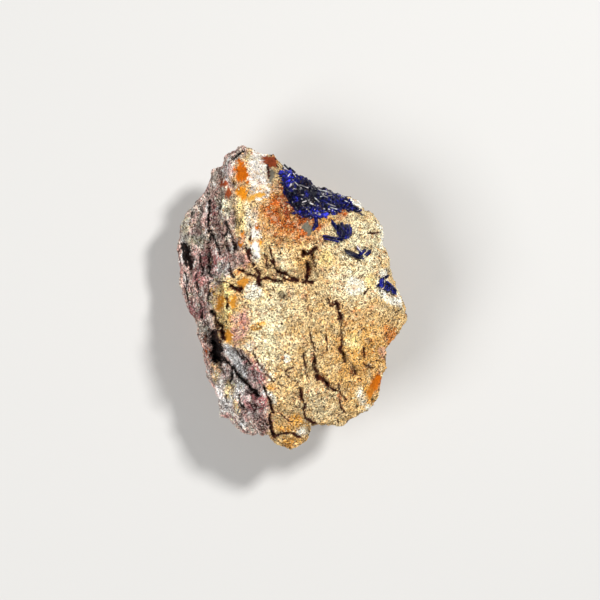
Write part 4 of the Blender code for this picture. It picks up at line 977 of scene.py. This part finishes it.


def mingled(rng, colours, kinds):
    """The stone's colours at some grains, each drawn towards its kind's tone and made a
    little lighter or darker. The black kinds stay pale where the stone is nearly white, and
    grains in the dark stains and painted shade keep them."""
    shares = np.array([share for share, _, _ in kinds])
    pick = rng.choice(len(kinds), len(colours), p=shares / shares.sum())
    tone = np.array([tone for _, tone, _ in kinds])[pick]
    far = np.array([far for _, _, far in kinds])[pick][:, None]
    pale = (colours[:, :3].min(-1) > 0.6) & (tone.max(-1) < 0.1)
    far = np.where(pale[:, None], 0.3, far)
    mixed = (colours[:, :3] * (1 - far) + tone * far) * rng.uniform(0.5, 1.4, (len(colours), 1))
    mixed = np.column_stack([np.clip(mixed, 0.002, 0.95), colours[:, 3]])
    return np.where(colours[:, :3].sum(-1, keepdims=True) < DARK_STAIN_AND_SHADE, colours, mixed)


# For each cell of the skin's grid: whether it takes grains, which lie off the lowest part of
# the sides and off the clay, and how thickly sand lies on it.
BARE_FOOT, CLAY_COVER = 1.5, 0.65
cell_middles = (skin_points[1:, 1:] + skin_points[:-1, :-1]) / 2
cell_side = skin_side[1:, 1:]
cell_flank = flank_share(cell_middles, cell_side)
bare = ~crusted(cell_middles)
takes_grains = (cell_middles[..., 2] > BARE_FOOT) & (skin_clay[1:, 1:] < CLAY_COVER)
sandy = (0.06 + 0.94 * (1 - cell_flank)) * np.where(cell_side > 0.02, 0.5, 1.0)
sandy = sandy * takes_grains * (0.1 + 0.9 * bare)


def build_sand(name, seed, shape, count, sizes, finish):
    """Grains of one kind scattered over the sandy parts, sunk to about half their depth."""
    rng = np.random.default_rng(seed)
    centres, normals, colours = places_on_skin(rng, count, sandy)
    size = sizes[0] + (sizes[1] - sizes[0]) * rng.random(count) ** 2
    radii = size[:, None] / 2 * rng.uniform(0.6, 1.45, (count, 3))
    sunk = centres - normals * (size * rng.uniform(0.05, 0.3, count))[:, None]
    corners, faces, each = scattered(rng, shape, sunk, radii, random_turns(rng, count))
    colours = np.repeat(mingled(rng, colours, GRAIN_KINDS), each, axis=0)
    mesh = mesh_from(name, corners, faces, colours)
    show(name, mesh, finish, "sandstone", "matrix")


def sand_finish():
    """Grains of sand in their own colours, slightly uneven, with a faint gloss."""
    finish = Finish("quartz_sand", roughness=0.62, specular_ior_level=0.22)
    at = finish.place()
    colour = finish.shaded(finish.stone(), finish.noise(at, 3000.0) * 0.7 + 0.65)
    finish.feed(base_color=weathered(finish, at, colour))
    finish.bump(finish.noise(at, 5000.0), 0.00005)
    return finish.material


sand = sand_finish()
build_sand("coarse_sand", 101, rounded_grain(), COARSE_GRAINS, COARSE_SIZES, sand)
build_sand("fine_sand_1", 102, angular_grain(), FINE_GRAINS, FINE_SIZES, sand)
build_sand("fine_sand_2", 103, angular_grain(), FINE_GRAINS, FINE_SIZES, sand)


# ---------------------------------------------------------------- the flank's flakes
# Thin flakes of mica schist that split off along the flank's layers, white, pink, mauve and
# black. They overlap like shingles, each tilted a little out of the surface.

FLAKES, FLAKE_DISORDER = 21000, 0.35
FLAKE_LENGTHS, FLAKE_WIDTHS, FLAKE_DEPTHS = (0.35, 0.95), (0.22, 0.42), (0.1, 0.22)
# How the flakes lean off upright, at some values of Y.
FLAKE_LEAN = ((-40, -20, -8, 45), (-0.9, -0.9, 0.0, 0.15))
# Kinds of flake: how common each is, its tone, and how far the stone's colour is drawn to it.
FLAKE_KINDS = (
    (0.26, (0.93, 0.85, 0.77), 0.6), (0.44, FLANK_TONE, 0.0), (0.10, MAUVE, 0.4),
    (0.17, (0.015, 0.01, 0.01), 0.92),
)


def in_plane(vectors, normals):
    """The vectors laid in the planes of the normals, one unit long."""
    return unit(vectors - normals * (vectors * normals).sum(-1, keepdims=True))


def build_flakes(finish):
    """Flattened grains laid along the layers, each tilted a little at random."""
    rng = np.random.default_rng(104)
    weight = cell_flank**2 * np.where(cell_side > 0.02, 0.4, 1.0) * takes_grains
    centres, normals, colours = places_on_skin(rng, FLAKES, weight, 1)
    lean = np.interp(centres[:, 1], *FLAKE_LEAN)
    along = np.stack([-lean, np.ones(FLAKES), np.zeros(FLAKES)], -1)
    along = in_plane(along + rng.normal(0, FLAKE_DISORDER, (FLAKES, 3)), normals)
    across = unit(np.cross(normals + rng.normal(0, FLAKE_DISORDER, (FLAKES, 3)), along))
    turns = np.stack([along, across, np.cross(along, across)], -1)
    radii = np.stack([rng.uniform(*sizes, FLAKES) / 2 for sizes in
                      (FLAKE_LENGTHS, FLAKE_WIDTHS, FLAKE_DEPTHS)], -1)
    corners, faces, each = scattered(rng, angular_grain(), centres, radii, turns, 0.2)
    colours = np.repeat(mingled(rng, colours, FLAKE_KINDS), each, axis=0)
    mesh = mesh_from("schist_flakes", corners, faces, colours)
    show("schist_flakes", mesh, finish, "sandstone", "matrix")


build_flakes(sand)


# ---------------------------------------------------------------- the azurite crust
# Deep blue blades of azurite, flattened six-sided prisms with chisel ends, crowded into the
# hollow of the upper right shoulder. They grew out of the stone in every direction, the
# smallest as a druse between the larger ones.

BLADE_CORNERS = 12
BLADE_FLATNESS = 0.5175  # a blade's thickness, as a share of its hexagon's
CHISEL_SLOPE = 0.9  # how far an end is cut back, for each unit off its ridge
BLADE_SUNK = 0.2  # the share of a standing blade that is in the stone
# Kinds of blade in the crust: how many, lengths, widths, and how far they lean.
CRUST_KINDS = (
    (2100, (0.35, 0.9), (0.25, 0.55), (0, 80)), (600, (0.8, 1.7), (0.4, 0.9), (20, 85)),
    (70, (1.6, 2.8), (0.7, 1.3), (45, 88)),
)
# Blades that lie along the vein under the crust and along its edges: X, Y, length, width,
# turn and tilt in degrees.
CRUST_LATHS = (
    (6.5, 20.4, 3.6, 1.1, -84, 4), (6.0, 18.9, 2.6, 0.9, -104, 4), (8.4, 21.9, 3.0, 1.1, 12, 14),
    (11.0, 23.2, 2.8, 1.0, -18, 16), (16.7, 24.1, 2.2, 0.6, -42, 4), (18.5, 22.7, 1.8, 0.5, -42, 4),
    (3.2, 22.2, 2.6, 1.0, -20, 18), (-1.6, 34.4, 2.2, 1.0, 100, 14), (-0.2, 34.6, 2.4, 1.1, 72, 10),
)
# How bright the blue is: a bright end, a cavity darkened with painted shade, a mid-blue band
# and two small painted glints in the cavity (X, Y, radii, turn, brightness), over the ordinary
# dark of the crust.
CRUST_BLUES_AND_PAINTED_LIGHT = (
    (-0.9, 32.0, 2.2, 2.8, 0, 1.4), (2.7, 27.0, 5.3, 4.3, -20, -0.5), (5.0, 22.6, 6.5, 1.4, 4, 1.05),
    (12.0, 25.6, 4.2, 2.2, -14, 0.1), (6.4, 19.8, 1.2, 2.6, 0, 1.0), (1.1, 26.3, 0.7, 0.8, 0, 2.2),
    (3.7, 27.4, 0.6, 1.2, 0, 1.2),
)
CRUST_DARK = 0.4
# Whitish blade edges that stand out of the crust, as lengths along them.
PALE_LATHS = (
    (2.6, 29.2, 2.6, 0.35, -7, 4), (6.8, 28.3, 1.2, 0.35, -50, 4), (8.2, 27.8, 2.2, 0.35, 0, 4),
    (9.7, 27.2, 1.1, 0.3, -50, 4), (8.0, 26.9, 1.0, 0.4, 70, 4), (8.8, 26.3, 1.1, 0.4, -20, 4),
    (9.8, 26.6, 1.4, 0.4, 30, 4), (3.2, 25.3, 1.3, 0.3, 20, 4), (5.0, 24.6, 1.2, 0.3, -25, 4),
    (6.2, 25.4, 2.0, 0.35, -65, 4), (9.9, 24.0, 2.4, 0.45, -20, 4), (10.6, 23.2, 2.0, 0.4, -8, 4),
    (0.4, 30.2, 2.4, 0.3, -65, 4), (12.6, 26.6, 1.6, 0.3, -40, 4), (14.0, 25.2, 1.6, 0.3, -35, 4),
    (-1.2, 32.0, 1.4, 0.3, 60, 4), (0.2, 32.2, 1.4, 0.3, 100, 4), (7.6, 26.2, 1.4, 0.3, 45, 4),
)
# Where pale grains and dust lie among the blades: X, Y, radii, turn.
CRUST_FLECKS = (
    (4.6, 24.6, 1.8, 1.7, 0), (1.0, 29.8, 1.7, 1.0, 0), (9.4, 28.4, 1.7, 1.7, 0),
    (10.6, 23.6, 1.5, 0.9, 0), (2.2, 26.2, 0.6, 2.0, 20), (12.4, 27.2, 1.6, 1.2, 0),
    (6.0, 23.2, 3.2, 0.9, 0), (7.5, 29.0, 3.5, 0.9, -25),
)


def unit_blade():
    """A six-sided prism along Z from -0.5 to 0.5: its twelve corners and its triangles, the
    ends folded along the ridge that will be the chisel's edge."""
    turns = np.radians(np.arange(6) * 60 + 30)
    ring = np.stack([np.cos(turns) * 0.5, np.sin(turns) * 0.5], -1)
    corners = np.concatenate([np.column_stack([ring, np.full(6, end)]) for end in (-0.5, 0.5)])
    here, there = np.arange(6), (np.arange(6) + 1) % 6
    walls = np.concatenate([np.stack([here, there, there + 6], -1),
                            np.stack([here, there + 6, here + 6], -1)])
    cap = np.array([(1, 2, 3), (1, 3, 4), (4, 5, 0), (4, 0, 1)])
    return corners, np.concatenate([walls, cap + 6, cap[:, ::-1]])


def blade_arrays(middles, across, headings, lengths, widths):
    """Many blades at once: the unit blade stretched, each corner cut back from its end in
    proportion to its distance from the ridge, and turned into place."""
    shape, faces = unit_blade()
    up = np.cross(headings, across)
    x = shape[None, :, 0] * widths[:, None]
    y = shape[None, :, 1] * widths[:, None] * BLADE_FLATNESS
    half_length = np.maximum(lengths[:, None] / 2 - CHISEL_SLOPE * np.abs(x), 0.05)
    z = np.sign(shape[None, :, 2]) * half_length
    placed = (middles[:, None] + across[:, None] * x[..., None] + up[:, None] * y[..., None]
              + headings[:, None] * z[..., None])
    first = np.arange(len(middles))[:, None, None] * len(shape)
    return placed.reshape(-1, 3), (faces + first).reshape(-1, 3)


def perpendicular(rng, headings):
    """A random unit vector square to each heading."""
    return unit(np.cross(headings, rng.normal(size=headings.shape)))


def standing_blades(rng, count, lengths, widths, leans):
    """Blades that stand on the crust's part of the skin, leaning at random. Those that would
    reach out past the lump's outline are shorter."""
    points, normals, _ = places_on_skin(rng, count, 1.0 - bare)
    lean = np.radians(rng.uniform(*leans, count))[:, None]
    headings = normals * np.cos(lean) + perpendicular(rng, normals) * np.sin(lean)
    length = rng.uniform(*lengths, count)
    tips = points + headings * (length * (1 - BLADE_SUNK))[:, None]
    reach = by_angle(OUTLINE, np.arctan2(tips[:, 1], tips[:, 0])) + rng.uniform(-0.6, 0.8, count)
    length = np.where(np.hypot(tips[:, 0], tips[:, 1]) > reach, 0.45 * length, length)
    middles = points + headings * (length * (0.5 - BLADE_SUNK))[:, None]
    return middles, perpendicular(rng, headings), headings, length, rng.uniform(*widths, count)


even_normals = unit(averaged(skin_normals, 12))


def lying_blades(laths, lift=0.5):
    """Blades that lie on the skin above the crust's foot: the middle of each over its X and Y,
    pointing along its turn in the skin's plane there, lifted, with the far end tilted up."""
    x, y, length, width, turn, tilt = np.array(laths, float).T
    near = np.hypot(skin_points[..., 0][..., None] - x, skin_points[..., 1][..., None] - y)
    near = np.where(skin_points[..., 2:] < CRUST_BOTTOM, np.inf, near)
    at = np.argmin(near.reshape(-1, len(x)), axis=0)
    points, normals = skin_points.reshape(-1, 3)[at], even_normals.reshape(-1, 3)[at]
    turn, tilt = np.radians(turn), np.radians(tilt)[:, None]
    headings = in_plane(np.stack([np.cos(turn), np.sin(turn), np.zeros_like(turn)], -1), normals)
    across = np.cross(normals, headings)
    headings = headings * np.cos(tilt) + normals * np.sin(tilt)
    middles = points + normals * (lift + 0.25 * length[:, None] * np.sin(tilt))
    return middles, across, headings, length, width


def blade_blues(rng, brightness, flecks):
    """A blue for each blade, from nearly black to vivid, by its brightness and at random. A
    share of them is dusted whitish grey."""
    shade = (brightness * rng.uniform(0.05, 1.5, len(brightness)) ** 2)[:, None]
    blues = np.array([0.018, 0.022, 0.34, 0]) * shade + np.array([0.001, 0.001, 0.006, 0])
    dust = np.array([0.55, 0.50, 0.50, 0]) * rng.uniform(0.3, 1.4, (len(blues), 1))
    return np.where((rng.random(len(blues)) < flecks)[:, None], dust, blues)


def azurite_finish():
    """Azurite: glassy, each blade in its own blue, darkened nearly to black in patches, with
    uneven growth faces and a little pale dust."""
    finish = Finish("azurite", ior=1.73, specular_ior_level=0.2)
    at = finish.place()
    patch = finish.noise(at, 900.0, 2.0).ramp(0.42, 0.62)
    colour = finish.mix(patch * 0.75, finish.stone(), (0.0015, 0.0015, 0.014, 1))
    dust = finish.noise(at, 2200.0, 3.0).ramp(0.66, 0.74)
    colour = finish.mix(dust * 0.25, colour, (0.30, 0.32, 0.42, 1))
    finish.feed(base_color=colour, roughness=dust * 0.5 + 0.08)
    finish.bump(finish.noise(at, 2600.0), 0.00004)
    return finish.material


def build_crust(finish):
    """All the crust's blades in one mesh, each with its own blue, and the pale ones."""
    rng = np.random.default_rng(7)
    groups = [standing_blades(rng, *kind) for kind in CRUST_KINDS] + [lying_blades(CRUST_LATHS)]
    blades = [np.concatenate(parts) for parts in zip(*groups)]
    corners, faces = blade_arrays(*blades)
    x, y = blades[0][:, 0], blades[0][:, 1]
    # Each blade's brightness, with painted shade in the cavity and painted glints.
    light = CRUST_DARK + np.zeros_like(x)
    for *shape, more in CRUST_BLUES_AND_PAINTED_LIGHT:
        light += more * np.exp(-(oval_radius(x, y, shape) ** 3))
    fleck = np.min([oval_radius(x, y, spot) for spot in CRUST_FLECKS], axis=0) < 1
    pale = blade_arrays(*lying_blades(PALE_LATHS, 0.9))
    blues = blade_blues(rng, np.maximum(light, 0.02), 0.015 + 0.16 * fleck)
    dusty = np.minimum(1.5 * blade_blues(rng, np.ones(len(PALE_LATHS)), 1.0), 0.85)
    colours = np.repeat(np.concatenate([blues, dusty]), BLADE_CORNERS, axis=0)
    faces = np.concatenate([faces, pale[1] + len(corners)])
    mesh = mesh_from("azurite_cluster", np.concatenate([corners, pale[0]]), faces, colours)
    show("azurite_cluster", mesh, finish, "azurite", "azurite_crust")


azurite = azurite_finish()
build_crust(azurite)


# ---------------------------------------------------------------- the loose azurite groups
# Single laths and small fans of azurite that lie on the sandy face and stick in the rim.
# Each lath grew as a bundle of thin blades side by side.

BUNDLE = 5  # blades in a lath
# The laths of each group: X, Y, length, width, turn and tilt in degrees.
GROUPS = (
    ("azurite_fan", (
        (11.3, 19.0, 4.7, 0.9, -55, 6), (12.6, 18.0, 4.4, 1.1, -64, 12),
        (13.4, 17.6, 4.6, 1.1, -78, 16), (14.3, 17.7, 4.4, 1.1, -90, 14),
        (15.0, 17.9, 3.4, 0.9, -102, 8), (12.4, 16.7, 2.8, 0.9, -66, 6),
    )),
    ("azurite_lath", ((10.4, 15.8, 5.0, 1.1, -13, 4), (11.2, 15.4, 3.0, 0.7, -18, 8))),
    ("azurite_crossed_laths", (
        (16.1, 11.6, 5.6, 1.4, -19, 2), (17.5, 12.9, 2.8, 0.7, -48, 2),
        (18.1, 12.3, 3.0, 0.7, 43, 2),
    )),
    ("azurite_splinter", ((19.7, 12.2, 2.3, 0.9, 38, 10),)),
    ("azurite_rim_group", (
        (23.2, 4.6, 3.6, 1.1, -104, 8), (24.6, 4.0, 2.2, 1.1, -30, 14), (25.6, 3.0, 2.8, 1.2, -48, 18),
        (24.8, 2.6, 2.2, 1.0, 24, 26), (26.0, 2.2, 2.0, 1.0, -80, 30), (24.2, 3.2, 1.6, 0.8, 60, 30),
        (24.2, 5.9, 1.6, 0.7, 30, 20), (22.4, 3.6, 1.4, 0.6, 70, 16), (26.4, 1.6, 1.4, 0.8, -10, 20),
    )),
)


def build_group(name, laths, finish, seed):
    """Each lath is a bundle of thin parallel blades that end at different lengths."""
    rng = np.random.default_rng(seed)
    middles, across, headings, lengths, widths = (
        np.repeat(values, BUNDLE, axis=0) for values in lying_blades(laths, 0.55))
    places = np.tile(np.linspace(-0.34, 0.34, BUNDLE), len(laths)) * widths
    slid = rng.uniform(-0.13, 0.13, len(places)) * lengths
    raised = np.cross(headings, across) * rng.uniform(-0.15, 0.2, (len(places), 1))
    middles = middles + across * places[:, None] + headings * slid[:, None] + raised
    lengths = lengths * rng.uniform(0.62, 0.95, len(places))
    widths = widths * rng.uniform(0.38, 0.6, len(places))
    corners, faces = blade_arrays(middles, across, headings, lengths, widths)
    blues = blade_blues(rng, np.full(len(places), CRUST_DARK), 0.04)
    colours = np.repeat(blues, BLADE_CORNERS, axis=0)
    mesh = mesh_from(name + "_blades", corners, faces, colours)
    show(name + "_blades", mesh, finish, "azurite", name)


for seed, (name, laths) in enumerate(GROUPS):
    build_group(name, laths, azurite, seed)


# ---------------------------------------------------------------- the studio
# A table top covered in pale paper, a key light from the upper right, a broad fill light from
# the lower left, and a camera that looks straight down at the face.

CAMERA_SIDE, CAMERA_HEIGHT, SENSOR_WIDTH = 0.0021, 0.924, 36
FRAME_WIDTH, GIRTH_LEVEL = 0.1574, 0.024  # how wide its view is at the level of the girth
TABLE_REACH, TABLE_DROP = 900, 0.05


def build_floor():
    """A flat square of pale paper, just under the lump."""
    square = np.array([(-1, -1), (1, -1), (1, 1), (-1, 1)]) * TABLE_REACH
    corners = np.column_stack([square, np.full(4, -TABLE_DROP)])
    mesh = mesh_from("table_top", corners, np.array([(0, 1, 2, 3)]))
    floor = bpy.data.objects.new("table_top", mesh)
    bpy.context.scene.collection.objects.link(floor)
    paper = Finish("pale_paper", base_color=(0.62, 0.61, 0.59, 1), roughness=0.9)
    mesh.materials.append(paper.material)


def add_light(name, azimuth, elevation, distance, size, power):
    """A square area light that faces the lump from the given direction."""
    turn, rise = math.radians(azimuth), math.radians(elevation)
    out = math.cos(rise)
    away = Vector((math.cos(turn) * out, math.sin(turn) * out, math.sin(rise)))
    light = bpy.data.lights.new(name, "AREA")
    light.size = size
    light.energy = power
    lamp = bpy.data.objects.new(name, light)
    bpy.context.scene.collection.objects.link(lamp)
    lamp.location = away * distance + Vector((0, 0, 0.02))
    lamp.rotation_euler = away.to_track_quat("Z", "Y").to_euler()


def build_studio():
    """The colours as they are, a faint even light all round, both lamps and the camera."""
    scene = bpy.context.scene
    scene.view_settings.view_transform = "Standard"
    world = bpy.data.worlds.new("soft_room")
    scene.world = world
    world.use_nodes = True
    backdrop = world.node_tree.nodes["Background"].inputs
    backdrop["Color"].default_value = (0.95, 0.97, 1.0, 1)
    backdrop["Strength"].default_value = 0.18
    add_light("key", azimuth=40, elevation=52, distance=0.9, size=0.12, power=7.7)
    add_light("fill", azimuth=208, elevation=50, distance=1.0, size=0.5, power=7.2)

    camera = bpy.data.cameras.new("camera")
    camera.sensor_width = SENSOR_WIDTH
    camera.lens = SENSOR_WIDTH * (CAMERA_HEIGHT - GIRTH_LEVEL) / FRAME_WIDTH
    holder = bpy.data.objects.new("camera", camera)
    scene.collection.objects.link(holder)
    holder.location = (CAMERA_SIDE, 0, CAMERA_HEIGHT)
    scene.camera = holder


build_floor()
build_studio()
